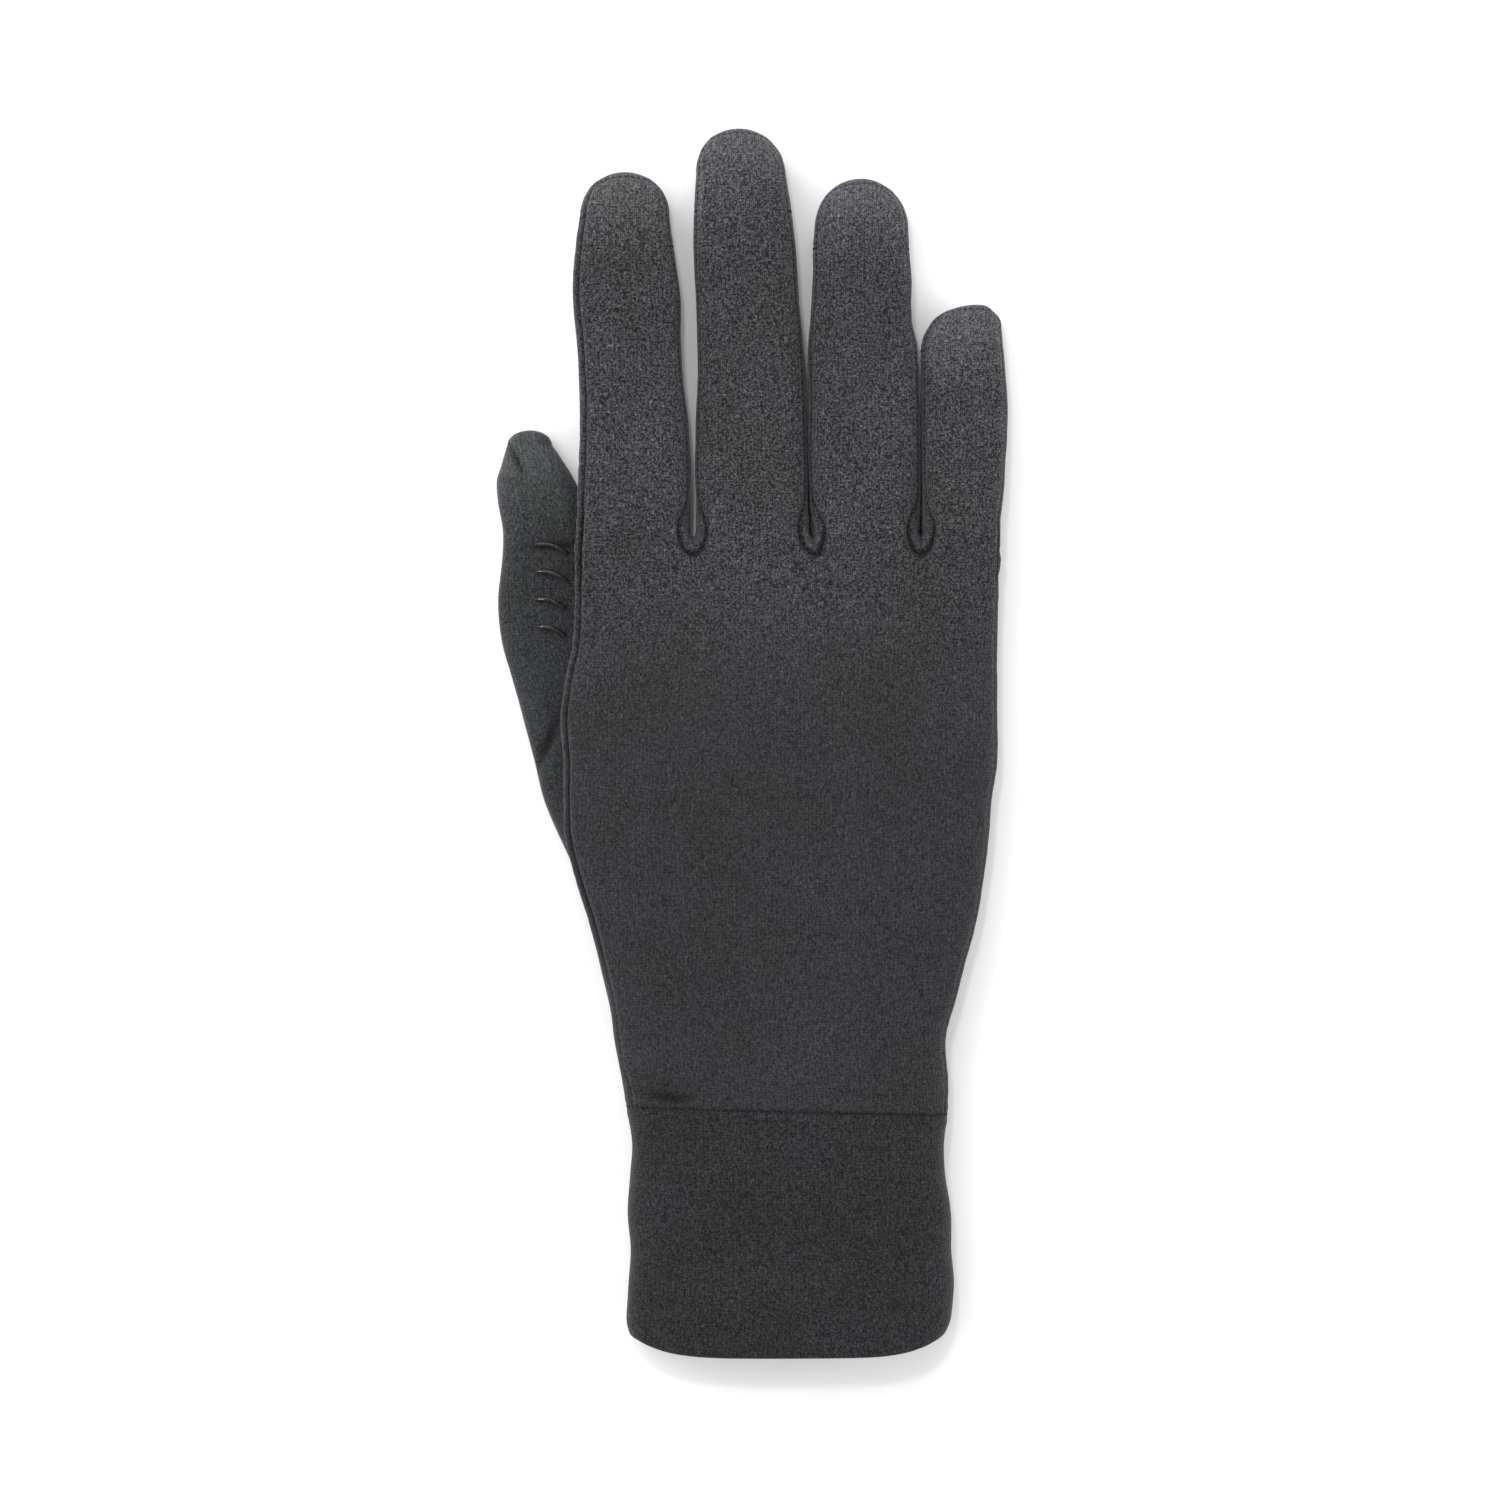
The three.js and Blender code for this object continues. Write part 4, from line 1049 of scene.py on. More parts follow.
@dataclass
class PanelCloth:
    """Cuts one panel out of a skin and gives it its wall. Sizes in mm."""

    panel: Panel
    wall: float = 1.0
    seam_gap: float = 0.08
    hem_roll: float = 0.9
    cloth_unit: float = 250.0

    def inward(self, skin: Skin, border: list[tuple[int, int]],
               shared: set[tuple[int, int]]) -> dict[int, list[Array]]:
        """Directions into the panel at each corner of its seams."""
        found: dict[int, list[Array]] = {}
        for a, b in border:
            if (b, a) in shared:
                along = skin.at[b] - skin.at[a]
                for corner in (a, b):
                    side = np.cross(skin.normals[corner], along)
                    length = np.linalg.norm(side)
                    if length > 1e-9:
                        found.setdefault(corner, []).append(side / length)
        return found

    def hem_distance(self, skin: Skin, corners: Array, hem: set[int]) -> Array:
        """Distance of each corner from the open hem, or a large number where there is none."""
        if not hem:
            return np.full(len(corners), 99.0)
        tree = KDTree(len(hem))
        for i, corner in enumerate(sorted(hem)):
            tree.insert(skin.at[corner], i)
        tree.balance()
        return np.array([tree.find(skin.at[c])[2] for c in corners])

    def build(self, skin: Skin, tip: Array) -> bpy.types.Object:
        """Make the panel.

        Args:
            skin: the pressed skin.
            tip: share of painted highlight at each point of the skin, from 0 to 1, most at the
                fingertips.

        Returns:
            The closed panel, with its cloth map, its seam attribute of painted seam and fold shade,
            and its tip attribute of painted highlight.
        """
        own = [i for i, panel in enumerate(skin.panels) if panel is self.panel]
        edges = skin.edges(self.panel)
        border = [edge for edge in edges if edge[::-1] not in edges]
        shared = {(a, b) for corners, panel in zip(skin.quads, skin.panels)
                  if panel is not self.panel for a, b in zip(corners, corners[1:] + corners[:1])}
        sides = self.inward(skin, border, shared)
        corners = np.unique(skin.faces[own])
        place = {int(c): i for i, c in enumerate(corners)}
        outer = skin.at[corners].copy()
        for corner, found in sides.items():
            total = sum(found)
            size = float(total @ total)
            if size > 1e-6:
                outer[place[corner]] += total * min(2 / size, 1.0) * self.seam_gap / 2
        outer[:, 2] = np.maximum(outer[:, 2], 0.02)
        hem = {c for a, b in border if (b, a) not in shared for c in (a, b)}
        roll = min(self.hem_roll, self.wall / 2)
        near = np.minimum(self.hem_distance(skin, corners, hem), roll)
        turned = roll - np.sqrt(np.maximum(roll * roll - (roll - near) ** 2, 0.0))
        normals = skin.normals[corners]
        outer -= normals * (turned * 0.94)[:, None]
        inner = outer - normals * (self.wall - 2 * turned * 0.94)[:, None]
        count = len(corners)
        faces: list[list[int]] = []
        cloth: list[Array] = []
        for i in own:
            ring = [place[c] for c in skin.quads[i]]
            keep = [n for n in range(4) if ring[n] != ring[n - 1]]
            face = [ring[n] for n in keep]
            uv = skin.uv[i][keep] / self.cloth_unit + 0.5
            faces.append(face)
            cloth.append(uv)
            faces.append([n + count for n in reversed(face)])
            cloth.append(uv[::-1])
        edge_cloth = {(ring[n - 1], ring[n]): (skin.uv[i][n - 1], skin.uv[i][n])
                      for i in own for ring in [skin.quads[i]] for n in range(4)}
        for a, b in border:
            start, stop = place[a], place[b]
            faces.append([stop, start, start + count, stop + count])
            from_uv, to_uv = edge_cloth[(a, b)]
            cloth.append(np.array([to_uv, from_uv, from_uv, to_uv]) / self.cloth_unit + 0.5)
        points = np.concatenate([outer, inner]) * MM
        mesh = bpy.data.meshes.new(self.panel.value + "_cloth")
        mesh.from_pydata(points.tolist(), [], faces)
        layer = mesh.uv_layers.new(name="Cloth")
        layer.data.foreach_set("uv", np.concatenate(cloth).astype(np.float32).ravel())
        # Painted shade: the colour is darkened along the seams and in the narrow folds.
        seam = skin.seam_pull[corners] * bell(skin.seam_distance[corners], 0.6)
        seam = np.maximum(seam, skin.crease[corners])
        for name, values in (("seam", seam), ("tip", tip[corners])):
            attribute = mesh.attributes.new(name, "FLOAT", "POINT")
            attribute.data.foreach_set("value", np.tile(values, 2).astype(np.float32))
        mesh.shade_smooth()
        mesh.set_sharp_from_angle(angle=math.radians(65))
        piece = bpy.data.objects.new(self.panel.value + "_cloth", mesh)
        bpy.context.scene.collection.objects.link(piece)
        return piece


class Graph:
    """Adds and joins nodes in one tree."""

    def __init__(self, tree: bpy.types.NodeTree) -> None:
        """Work on a tree."""
        self.tree = tree

    def add(self, kind: str, values: dict | None = None, **settings: object) -> bpy.types.Node:
        """Add a node.

        Args:
            kind: the node's type.
            values: sockets or plain values by input name or index.
            settings: properties of the node.

        Returns:
            The node.
        """
        node = self.tree.nodes.new(kind)
        for name, value in settings.items():
            setattr(node, name, value)
        for name, value in (values or {}).items():
            socket = node.inputs[name]
            if isinstance(value, bpy.types.NodeSocket):
                self.tree.links.new(value, socket)
            else:
                socket.default_value = value
        return node

    def math(self, operation: str, a: object, b: object = 0.0,
             clamp: bool = False) -> bpy.types.NodeSocket:
        """Result of a Math node."""
        node = self.add("ShaderNodeMath", {0: a, 1: b}, operation=operation, use_clamp=clamp)
        return node.outputs[0]

    def blend(self, factor: object, a: object, b: object,
              blend_type: str = "MIX") -> bpy.types.NodeSocket:
        """Result of a colour Mix node."""
        node = self.add("ShaderNodeMix", data_type="RGBA", blend_type=blend_type)
        for index, value in ((0, factor), (6, a), (7, b)):
            if isinstance(value, bpy.types.NodeSocket):
                self.tree.links.new(value, node.inputs[index])
            else:
                node.inputs[index].default_value = value
        return node.outputs[2]

    def spread(self, value: object, low: float, high: float, to_low: float,
               to_high: float) -> bpy.types.NodeSocket:
        """Map a value from one range to another, held at its ends."""
        node = self.add("ShaderNodeMapRange", {0: value, 1: low, 2: high, 3: to_low, 4: to_high})
        return node.outputs[0]


def shader_group(name: str, inputs: list[tuple[str, str, object]],
                 outputs: list[tuple[str, str]]) -> tuple[bpy.types.NodeTree, Graph, dict]:
    """Start a shader node group.

    Args:
        name: the group's name.
        inputs: name, socket type and default value of each input.
        outputs: name and socket type of each output.

    Returns:
        The tree, its graph and its input sockets by name.
    """
    tree = bpy.data.node_groups.new(name, "ShaderNodeTree")
    for label, kind, value in inputs:
        socket = tree.interface.new_socket(label, in_out="INPUT", socket_type=kind)
        if value is not None:
            socket.default_value = value
    for label, kind in outputs:
        tree.interface.new_socket(label, in_out="OUTPUT", socket_type=kind)
    graph = Graph(tree)
    entry = graph.add("NodeGroupInput")
    return tree, graph, {label: entry.outputs[label] for label, _, _ in inputs}


def finish_group(graph: Graph, results: dict[str, bpy.types.NodeSocket]) -> None:
    """Join a group's results to its outputs."""
    graph.add("NodeGroupOutput", results)


class KnitPatterns:
    """The shader groups that the cloths share: knitted loops, and speckled yarn."""

    def __init__(self) -> None:
        """Build each group once."""
        self.loops = self.make_loops()
        self.speckle = self.make_speckle()

    def make_loops(self) -> bpy.types.NodeTree:
        """Plain knit: columns of V-shaped loops, from the cloth map."""
        tree, graph, given = shader_group(
            "KnitLoops",
            [("Cloth", "NodeSocketVector", None), ("Wale", "NodeSocketFloat", 0.003),
             ("Course", "NodeSocketFloat", 0.0022), ("Wander", "NodeSocketFloat", 0.25)],
            [("Height", "NodeSocketFloat"), ("Groove", "NodeSocketFloat"),
             ("Loop", "NodeSocketFloat")])
        drift = graph.add("ShaderNodeTexNoise", {"Vector": given["Cloth"], "Scale": 90.0,
                                                 "Detail": 1.0})
        shift = graph.math("MULTIPLY", graph.math("SUBTRACT", drift.outputs["Fac"], 0.5),
                           given["Wander"])
        parts = graph.add("ShaderNodeSeparateXYZ", {0: given["Cloth"]})
        wale = graph.math("ADD", graph.math("DIVIDE", parts.outputs[0], given["Wale"]), shift)
        across = graph.math("FRACT", wale)
        from_middle = graph.math("ABSOLUTE", graph.math("SUBTRACT", across, 0.5))
        course = graph.math("ADD", graph.math("DIVIDE", parts.outputs[1], given["Course"]),
                            graph.math("ADD", graph.math("MULTIPLY", from_middle, 1.5), shift))
        legs = graph.math("ABSOLUTE", graph.math("SINE", graph.math("MULTIPLY", across,
                                                                    2 * math.pi)))
        legs = graph.math("POWER", legs, 0.7)
        turns = graph.math("COSINE", graph.math("MULTIPLY", course, 2 * math.pi))
        turns = graph.math("ADD", graph.math("MULTIPLY", turns, 0.3), 0.7)
        column = graph.math("SINE", graph.math("MULTIPLY", across, math.pi))
        column = graph.math("ADD", graph.math("MULTIPLY", column, 0.6), 0.4)
        height = graph.math("MULTIPLY", graph.math("MULTIPLY", legs, turns), column)
        groove = graph.math("SUBTRACT", 1.0, height, clamp=True)
        cell = graph.add("ShaderNodeCombineXYZ", {
            0: graph.math("FLOOR", graph.math("MULTIPLY", wale, 2.0)),
            1: graph.math("FLOOR", course)})
        chance = graph.add("ShaderNodeTexWhiteNoise", {0: cell.outputs[0]},
                           noise_dimensions="2D")
        finish_group(graph, {"Height": height, "Groove": groove,
                             "Loop": chance.outputs["Value"]})
        return tree

    def make_speckle(self) -> bpy.types.NodeTree:
        """Heathered yarn: fine light flecks, and soft patches of shade."""
        tree, graph, given = shader_group(
            "HeatherSpeckle",
            [("Place", "NodeSocketVector", None), ("Fleck", "NodeSocketFloat", 2300.0),
             ("Patch", "NodeSocketFloat", 45.0)],
            [("Fleck", "NodeSocketFloat"), ("Patch", "NodeSocketFloat"),
             ("Fibre", "NodeSocketFloat"), ("Spark", "NodeSocketFloat")])
        fleck = graph.add("ShaderNodeTexNoise", {"Vector": given["Place"],
                                                 "Scale": given["Fleck"], "Detail": 1.0,
                                                 "Roughness": 0.5})
        spark = graph.add("ShaderNodeTexNoise", {
            "Vector": given["Place"], "Detail": 0.0,
            "Scale": graph.math("MULTIPLY", given["Fleck"], 0.8)})
        patch = graph.add("ShaderNodeTexNoise", {"Vector": given["Place"],
                                                 "Scale": given["Patch"], "Detail": 3.0})
        stretch = graph.add("ShaderNodeMapping", {"Vector": given["Place"],
                                                  "Scale": (1.0, 0.16, 1.0)})
        fibre = graph.add("ShaderNodeTexNoise", {"Vector": stretch.outputs[0],
                                                 "Scale": 4200.0, "Detail": 2.0})
        finish_group(graph, {"Fleck": graph.spread(fleck.outputs["Fac"], 0.38, 0.64, 0.0, 1.0),
                             "Spark": graph.spread(spark.outputs["Fac"], 0.63, 0.76, 0.0, 1.0),
                             "Patch": graph.spread(patch.outputs["Fac"], 0.3, 0.7, 0.0, 1.0),
                             "Fibre": graph.spread(fibre.outputs["Fac"], 0.3, 0.7, 0.0, 1.0)})
        return tree


@dataclass(frozen=True)
class KnitFinish:
    """A knitted cloth: its yarn colours, loop sizes in mm, and sheen."""

    name: str
    dark: tuple[float, float, float]
    light: tuple[float, float, float]
    wale: float = 0.8
    course: float = 0.56
    bump: float = 0.45
    fleck: float = 0.45
    tip_fleck: float = 0.5
    loop_share: float = 0.35
    spark: float = 0.9
    # Brightness gain of the painted highlight towards the fingertips.
    tip_light_gain: float = 1.9
    sheen: float = 0.2
    sheen_colour: tuple[float, float, float] = (0.62, 0.62, 0.68)
    unit: float = 250.0

    def make(self, patterns: KnitPatterns) -> bpy.types.Material:
        """Build the material.

        Args:
            patterns: the shared shader groups.

        Returns:
            The material.
        """
        material = bpy.data.materials.new(self.name)
        material.use_nodes = True
        material.node_tree.nodes.clear()
        graph = Graph(material.node_tree)
        place = graph.add("ShaderNodeTexCoord")
        cloth = graph.add("ShaderNodeUVMap", uv_map="Cloth")
        loops = graph.add("ShaderNodeGroup", node_tree=patterns.loops)
        loops.inputs["Wale"].default_value = self.wale / self.unit
        loops.inputs["Course"].default_value = self.course / self.unit
        graph.tree.links.new(cloth.outputs[0], loops.inputs["Cloth"])
        speckle = graph.add("ShaderNodeGroup", node_tree=patterns.speckle)
        graph.tree.links.new(place.outputs["Object"], speckle.inputs["Place"])
        seam = graph.add("ShaderNodeAttribute", attribute_name="seam").outputs["Fac"]
        tip = graph.add("ShaderNodeAttribute", attribute_name="tip").outputs["Fac"]
        strength = graph.spread(tip, 0.0, 0.2, self.fleck, self.fleck + self.tip_fleck)
        strength = graph.math("MULTIPLY", strength, graph.spread(tip, 0.2, 1.0, 1.0, 0.6))
        yarn = graph.math("MULTIPLY", graph.math("SUBTRACT", speckle.outputs["Fleck"], 0.45),
                          strength)
        loop = graph.math("MULTIPLY", graph.math("SUBTRACT", loops.outputs["Loop"], 0.5),
                          self.loop_share)
        yarn = graph.math("ADD", graph.math("ADD", yarn, loop), 0.45, clamp=True)
        colour = graph.blend(yarn, (*self.dark, 1), (*self.light, 1))
        # Painted shade and highlight: darker in the grooves between the knit loops, lighter on their
        # crowns.
        shade = graph.spread(loops.outputs["Groove"], 0.0, 1.0, 1.6, 0.55)
        spark = graph.math("MULTIPLY", speckle.outputs["Spark"], self.spark)
        shade = graph.math("ADD", shade, graph.math("MULTIPLY", spark, strength))
        shade = graph.math("MULTIPLY", shade,
                           graph.spread(speckle.outputs["Patch"], 0.0, 1.0, 0.9, 1.1))
        # Painted highlight: lighter towards the fingertips and the thumb's tip, by the tip attribute.
        shade = graph.math("MULTIPLY", shade, graph.spread(tip, 0.0, 1.0, 1.0,
                                                           1.0 + self.tip_light_gain))
        # Painted shade: darker along the seams and in the narrow folds.
        shade = graph.math("MULTIPLY", shade, graph.spread(seam, 0.08, 0.9, 1.0, 0.32))
        cool = graph.math("MULTIPLY", shade,
                          graph.spread(speckle.outputs["Patch"], 0.0, 1.0, 0.93, 1.09))
        grey = graph.add("ShaderNodeCombineColor", {0: shade, 1: shade, 2: cool})
        colour = graph.blend(1.0, colour, grey.outputs[0], "MULTIPLY")
        relief = graph.math("ADD", loops.outputs["Height"],
                            graph.math("MULTIPLY", speckle.outputs["Fibre"], 0.55))
        relief = graph.math("ADD", relief, graph.math("MULTIPLY", speckle.outputs["Fleck"], 0.5))
        bump = graph.add("ShaderNodeBump", {"Height": relief, "Strength": self.bump,
                                            "Distance": 0.00022})
        rough = graph.spread(speckle.outputs["Fibre"], 0.0, 1.0, 0.78, 0.96)
        surface = graph.add("ShaderNodeBsdfPrincipled", {
            "Base Color": colour, "Roughness": rough, "Normal": bump.outputs[0],
            "Specular IOR Level": 0.15, "Sheen Weight": self.sheen, "Sheen Roughness": 0.4,
            "Sheen Tint": (*self.sheen_colour, 1)})
        graph.add("ShaderNodeOutputMaterial", {"Surface": surface.outputs[0]})
        return material


@dataclass(frozen=True)
class ThreadFinish:
    """Spun sewing thread with a diagonal twist."""

    name: str = "SewingThread"
    dark: tuple[float, float, float] = (0.003, 0.003, 0.0034)
    light: tuple[float, float, float] = (0.013, 0.013, 0.0145)

    def make(self, patterns: KnitPatterns) -> bpy.types.Material:
        """Build the material."""
        material = bpy.data.materials.new(self.name)
        material.use_nodes = True
        material.node_tree.nodes.clear()
        graph = Graph(material.node_tree)
        place = graph.add("ShaderNodeTexCoord")
        speckle = graph.add("ShaderNodeGroup", node_tree=patterns.speckle)
        graph.tree.links.new(place.outputs["Object"], speckle.inputs["Place"])
        twist = graph.add("ShaderNodeTexWave", {"Vector": place.outputs["Object"],
                                                "Scale": 1400.0, "Distortion": 1.5},
                          bands_direction="DIAGONAL")
        mixed = graph.math("MULTIPLY", twist.outputs["Fac"], speckle.outputs["Fleck"])
        colour = graph.blend(mixed, (*self.dark, 1), (*self.light, 1))
        bump = graph.add("ShaderNodeBump", {"Height": twist.outputs["Fac"], "Strength": 0.4,
                                            "Distance": 0.00006})
        rough = graph.spread(speckle.outputs["Fibre"], 0.0, 1.0, 0.5, 0.72)
        surface = graph.add("ShaderNodeBsdfPrincipled", {
            "Base Color": colour, "Roughness": rough, "Normal": bump.outputs[0],
            "Specular IOR Level": 0.2})
        graph.add("ShaderNodeOutputMaterial", {"Surface": surface.outputs[0]})
        return material


@dataclass(frozen=True)
class GripFinish:
    """Shiny printed grip compound with worn, duller patches."""

    name: str = "GripPrint"
    colour: tuple[float, float, float] = (0.002, 0.002, 0.0022)
    worn: tuple[float, float, float] = (0.012, 0.012, 0.013)

    def make(self, patterns: KnitPatterns) -> bpy.types.Material:
        """Build the material."""
        material = bpy.data.materials.new(self.name)
        material.use_nodes = True
        material.node_tree.nodes.clear()
        graph = Graph(material.node_tree)
        place = graph.add("ShaderNodeTexCoord")
        speckle = graph.add("ShaderNodeGroup", node_tree=patterns.speckle)
        speckle.inputs["Patch"].default_value = 260.0
        graph.tree.links.new(place.outputs["Object"], speckle.inputs["Place"])
        wear = graph.math("MULTIPLY", speckle.outputs["Patch"], speckle.outputs["Fleck"])
        colour = graph.blend(wear, (*self.colour, 1), (*self.worn, 1))
        rough = graph.spread(wear, 0.0, 0.6, 0.08, 0.34)
        bump = graph.add("ShaderNodeBump", {"Height": speckle.outputs["Patch"], "Strength": 0.3,
                                            "Distance": 0.0001})
        surface = graph.add("ShaderNodeBsdfPrincipled", {
            "Base Color": colour, "Roughness": rough, "Normal": bump.outputs[0],
            "Specular IOR Level": 0.35})
        graph.add("ShaderNodeOutputMaterial", {"Surface": surface.outputs[0]})
        return material


@dataclass
class SeamStitches:
    """Ladder stitches over every seam, laid by Geometry Nodes. Sizes in mm."""

    pitch: float = 1.25
    length: float = 1.05
    thread: float = 0.13
    rise: float = 0.26
    sink: float = 0.12
    floor_clear: float = 0.32
    slant: float = 14.0
    jitter: float = 0.22
    seed: int = 7

    def paths(self, skin: Skin) -> bpy.types.Object:
        """Seam lines of the skin, with the way up and the way across at each point."""
        used = sorted({c for edge in skin.edges_of_seams for c in edge})
        place = {c: i for i, c in enumerate(used)}
        tangent = np.zeros((len(used), 3))
        for a, b in skin.edges_of_seams:
            step = skin.at[b] - skin.at[a]
            tangent[place[a]] += step
            tangent[place[b]] += step
        up = skin.normals[used]
        at = skin.at[used].copy()
        at[:, 2] = np.maximum(at[:, 2], self.floor_clear)
        mesh = bpy.data.meshes.new("seam_paths")
        mesh.from_pydata((at * MM).tolist(),
                         [(place[a], place[b]) for a, b in skin.edges_of_seams], [])
        for name, values in (("up", up), ("across", np.cross(up, tangent))):
            attribute = mesh.attributes.new(name, "FLOAT_VECTOR", "POINT")
            attribute.data.foreach_set("vector", values.astype(np.float32).ravel())
        piece = bpy.data.objects.new("seam_paths", mesh)
        bpy.context.scene.collection.objects.link(piece)
        return piece

    def tree(self, thread: bpy.types.Material) -> bpy.types.NodeTree:
        """The node tree that lays one thread bar at each step of the seams."""
        tree = bpy.data.node_groups.new("LadderStitch", "GeometryNodeTree")
        face = tree.interface
        face.new_socket("Geometry", in_out="INPUT", socket_type="NodeSocketGeometry")
        for label, value in (("Pitch", self.pitch * MM), ("Length", self.length * MM),
                             ("Thread", self.thread * MM), ("Rise", self.rise * MM),
                             ("Sink", self.sink * MM), ("Slant", math.radians(self.slant)),
                             ("Jitter", self.jitter)):
            face.new_socket(label, in_out="INPUT", socket_type="NodeSocketFloat").default_value = value
        seed = face.new_socket("Seed", in_out="INPUT", socket_type="NodeSocketInt")
        seed.default_value = self.seed
        face.new_socket("Geometry", in_out="OUTPUT", socket_type="NodeSocketGeometry")
        graph = Graph(tree)
        given = graph.add("NodeGroupInput").outputs
        line = graph.add("GeometryNodeMeshToCurve", {0: given["Geometry"]})
        points = graph.add("GeometryNodeCurveToPoints", {"Curve": line.outputs[0],
                                                         "Length": given["Pitch"]},
                           mode="LENGTH")
        half = graph.math("MULTIPLY", given["Length"], 0.5)
        sunk = graph.math("MULTIPLY", given["Sink"], -1.0)
        start = graph.add("ShaderNodeCombineXYZ", {0: graph.math("MULTIPLY", half, -1.0),
                                                   2: sunk})
        middle = graph.add("ShaderNodeCombineXYZ", {2: given["Rise"]})
        stop = graph.add("ShaderNodeCombineXYZ", {0: half, 2: sunk})
        arc = graph.add("GeometryNodeCurveQuadraticBezier", {
            "Resolution": 5, "Start": start.outputs[0], "Middle": middle.outputs[0],
            "End": stop.outputs[0]})
        ring = graph.add("GeometryNodeCurvePrimitiveCircle", {"Resolution": 6,
                                                              "Radius": given["Thread"]})
        bar = graph.add("GeometryNodeCurveToMesh", {0: arc.outputs[0],
                                                    "Profile Curve": ring.outputs[0],
                                                    "Fill Caps": True})
        axes = [graph.add("GeometryNodeInputNamedAttribute", {"Name": name},
                          data_type="FLOAT_VECTOR").outputs[0] for name in ("up", "across")]
        turn = graph.add("FunctionNodeAxesToRotation", {0: axes[0], 1: axes[1]},
                         primary_axis="Z", secondary_axis="X")
        size = graph.add("FunctionNodeRandomValue", {
            "Min": (0.85, 0.85, 0.85), "Max": (1.15, 1.1, 1.15), "Seed": given["Seed"]},
            data_type="FLOAT_VECTOR")
        laid = graph.add("GeometryNodeInstanceOnPoints", {
            "Points": points.outputs[0], "Instance": bar.outputs[0],
            "Rotation": turn.outputs[0], "Scale": size.outputs[0]})
        sway = graph.add("FunctionNodeRandomValue", {
            2: graph.math("MULTIPLY", given["Jitter"], -1.0), 3: given["Jitter"],
            "Seed": given["Seed"]}, data_type="FLOAT")
        angle = graph.math("ADD", given["Slant"], sway.outputs[1])
        spin = graph.add("ShaderNodeCombineXYZ", {2: angle})
        turned = graph.add("GeometryNodeRotateInstances", {
            "Instances": laid.outputs[0], "Rotation": spin.outputs[0], "Local Space": True})
        real = graph.add("GeometryNodeRealizeInstances", {0: turned.outputs[0]})
        soft = graph.add("GeometryNodeSetShadeSmooth", {0: real.outputs[0]})
        dressed = graph.add("GeometryNodeSetMaterial", {0: soft.outputs[0], "Material": thread})
        graph.add("NodeGroupOutput", {0: dressed.outputs[0]})
        return tree

    def build(self, skin: Skin, thread: bpy.types.Material) -> bpy.types.Object:
        """Lay the stitches and keep them as a plain mesh."""
        path = self.paths(skin)
        modifier = path.modifiers.new("stitches", "NODES")
        modifier.node_group = self.tree(thread)
        for item in modifier.node_group.interface.items_tree:
            if item.item_type == "SOCKET" and item.in_out == "INPUT" and item.name == "Seed":
                modifier[item.identifier] = self.seed
        mesh = plain_mesh(path)
        mesh.name = "seam_stitches"
        bpy.data.objects.remove(path)
        piece = bpy.data.objects.new("seam_stitches", mesh)
        bpy.context.scene.collection.objects.link(piece)
        return piece


def plain_mesh(piece: bpy.types.Object) -> bpy.types.Mesh:
    """The mesh of a piece once its modifiers are applied."""
    evaluated = piece.evaluated_get(bpy.context.evaluated_depsgraph_get())
    return bpy.data.meshes.new_from_object(evaluated)


@dataclass(frozen=True)
class GripLine:
    """One raised line across the thumb, in shares of its length and width."""

    along: float
    start: float
    stop: float
    slope: float
    bend: float


@dataclass
class GripRibs:
    """The raised grip lines on the thumb. Sizes in mm."""

    form: HandForm
    width: float = 0.9
    height: float = 0.5
    steps: int = 28
    sides: int = 10
    lines: tuple[GripLine, ...] = (
        GripLine(0.758, 0.24, -0.05, -0.08, 0.03),
        GripLine(0.7, 0.24, -0.05, -0.08, 0.03),
        GripLine(0.642, 0.24, -0.03, -0.08, 0.03),
        GripLine(0.584, 0.22, -0.03, -0.08, 0.03),
    )

    def build(self, line: GripLine, shift: Array, name: str) -> bpy.types.Object:
        """Make one rib with round, tapered ends.

        Args:
            line: where the rib runs.
            shift: from the form's own frame to the glove's.
            name: the piece's name.

        Returns:
            The rib.
        """
        form = self.form
        spine = []
        for t in np.linspace(0.0, 1.0, self.steps + 1):
            rise = line.slope * t + line.bend * math.sin(math.pi * t)
            along = line.along + rise * form.thumb_width / form.thumb_length
            left, right, full = form.thumb_sides(along)
            x = form.thumb_line_x - form.thumb_width * lerp(line.start, line.stop, t)
            across = np.array([(x - (left + right) / 2) / ((right - left) / 2)])
            top = form.thumb_height(Side.BACK, across, full, 1.0)[0]
            spine.append((x, form.thumb_y(along), top))
        spine = np.array(spine) + shift
        ahead = np.gradient(spine, axis=0)
        ahead /= np.linalg.norm(ahead, axis=1, keepdims=True)
        side = np.cross(np.array([0.0, 0.0, 1.0]), ahead)
        up = np.cross(ahead, side)
        turns = 2 * math.pi * np.arange(self.sides) / self.sides
        rings = []
        for i, t in enumerate(np.linspace(0.0, 1.0, self.steps + 1)):
            fat = math.sqrt(max(1 - abs(2 * t - 1) ** 9, 0.0)) * 0.97 + 0.03
            centre = spine[i] + up[i] * 0.42
            rings.append(centre + np.outer(np.cos(turns), side[i]) * self.width / 2 * fat
                         + np.outer(np.sin(turns), up[i]) * self.height / 2 * fat)
        points = np.concatenate([*rings, rings[0].mean(0)[None], rings[-1].mean(0)[None]])
        faces, last = [], self.steps * self.sides
        for i in range(self.steps):
            for j in range(self.sides):
                a, b = i * self.sides + j, i * self.sides + (j + 1) % self.sides
                faces.append([a, b, b + self.sides, a + self.sides])
        for j in range(self.sides):
            nxt = (j + 1) % self.sides
            faces.append([nxt, j, len(points) - 2])
            faces.append([last + j, last + nxt, len(points) - 1])
        mesh = bpy.data.meshes.new(name)
        mesh.from_pydata((points * MM).tolist(), [], faces)
        mesh.shade_smooth()
        piece = bpy.data.objects.new(name, mesh)
        bpy.context.scene.collection.objects.link(piece)
        return piece


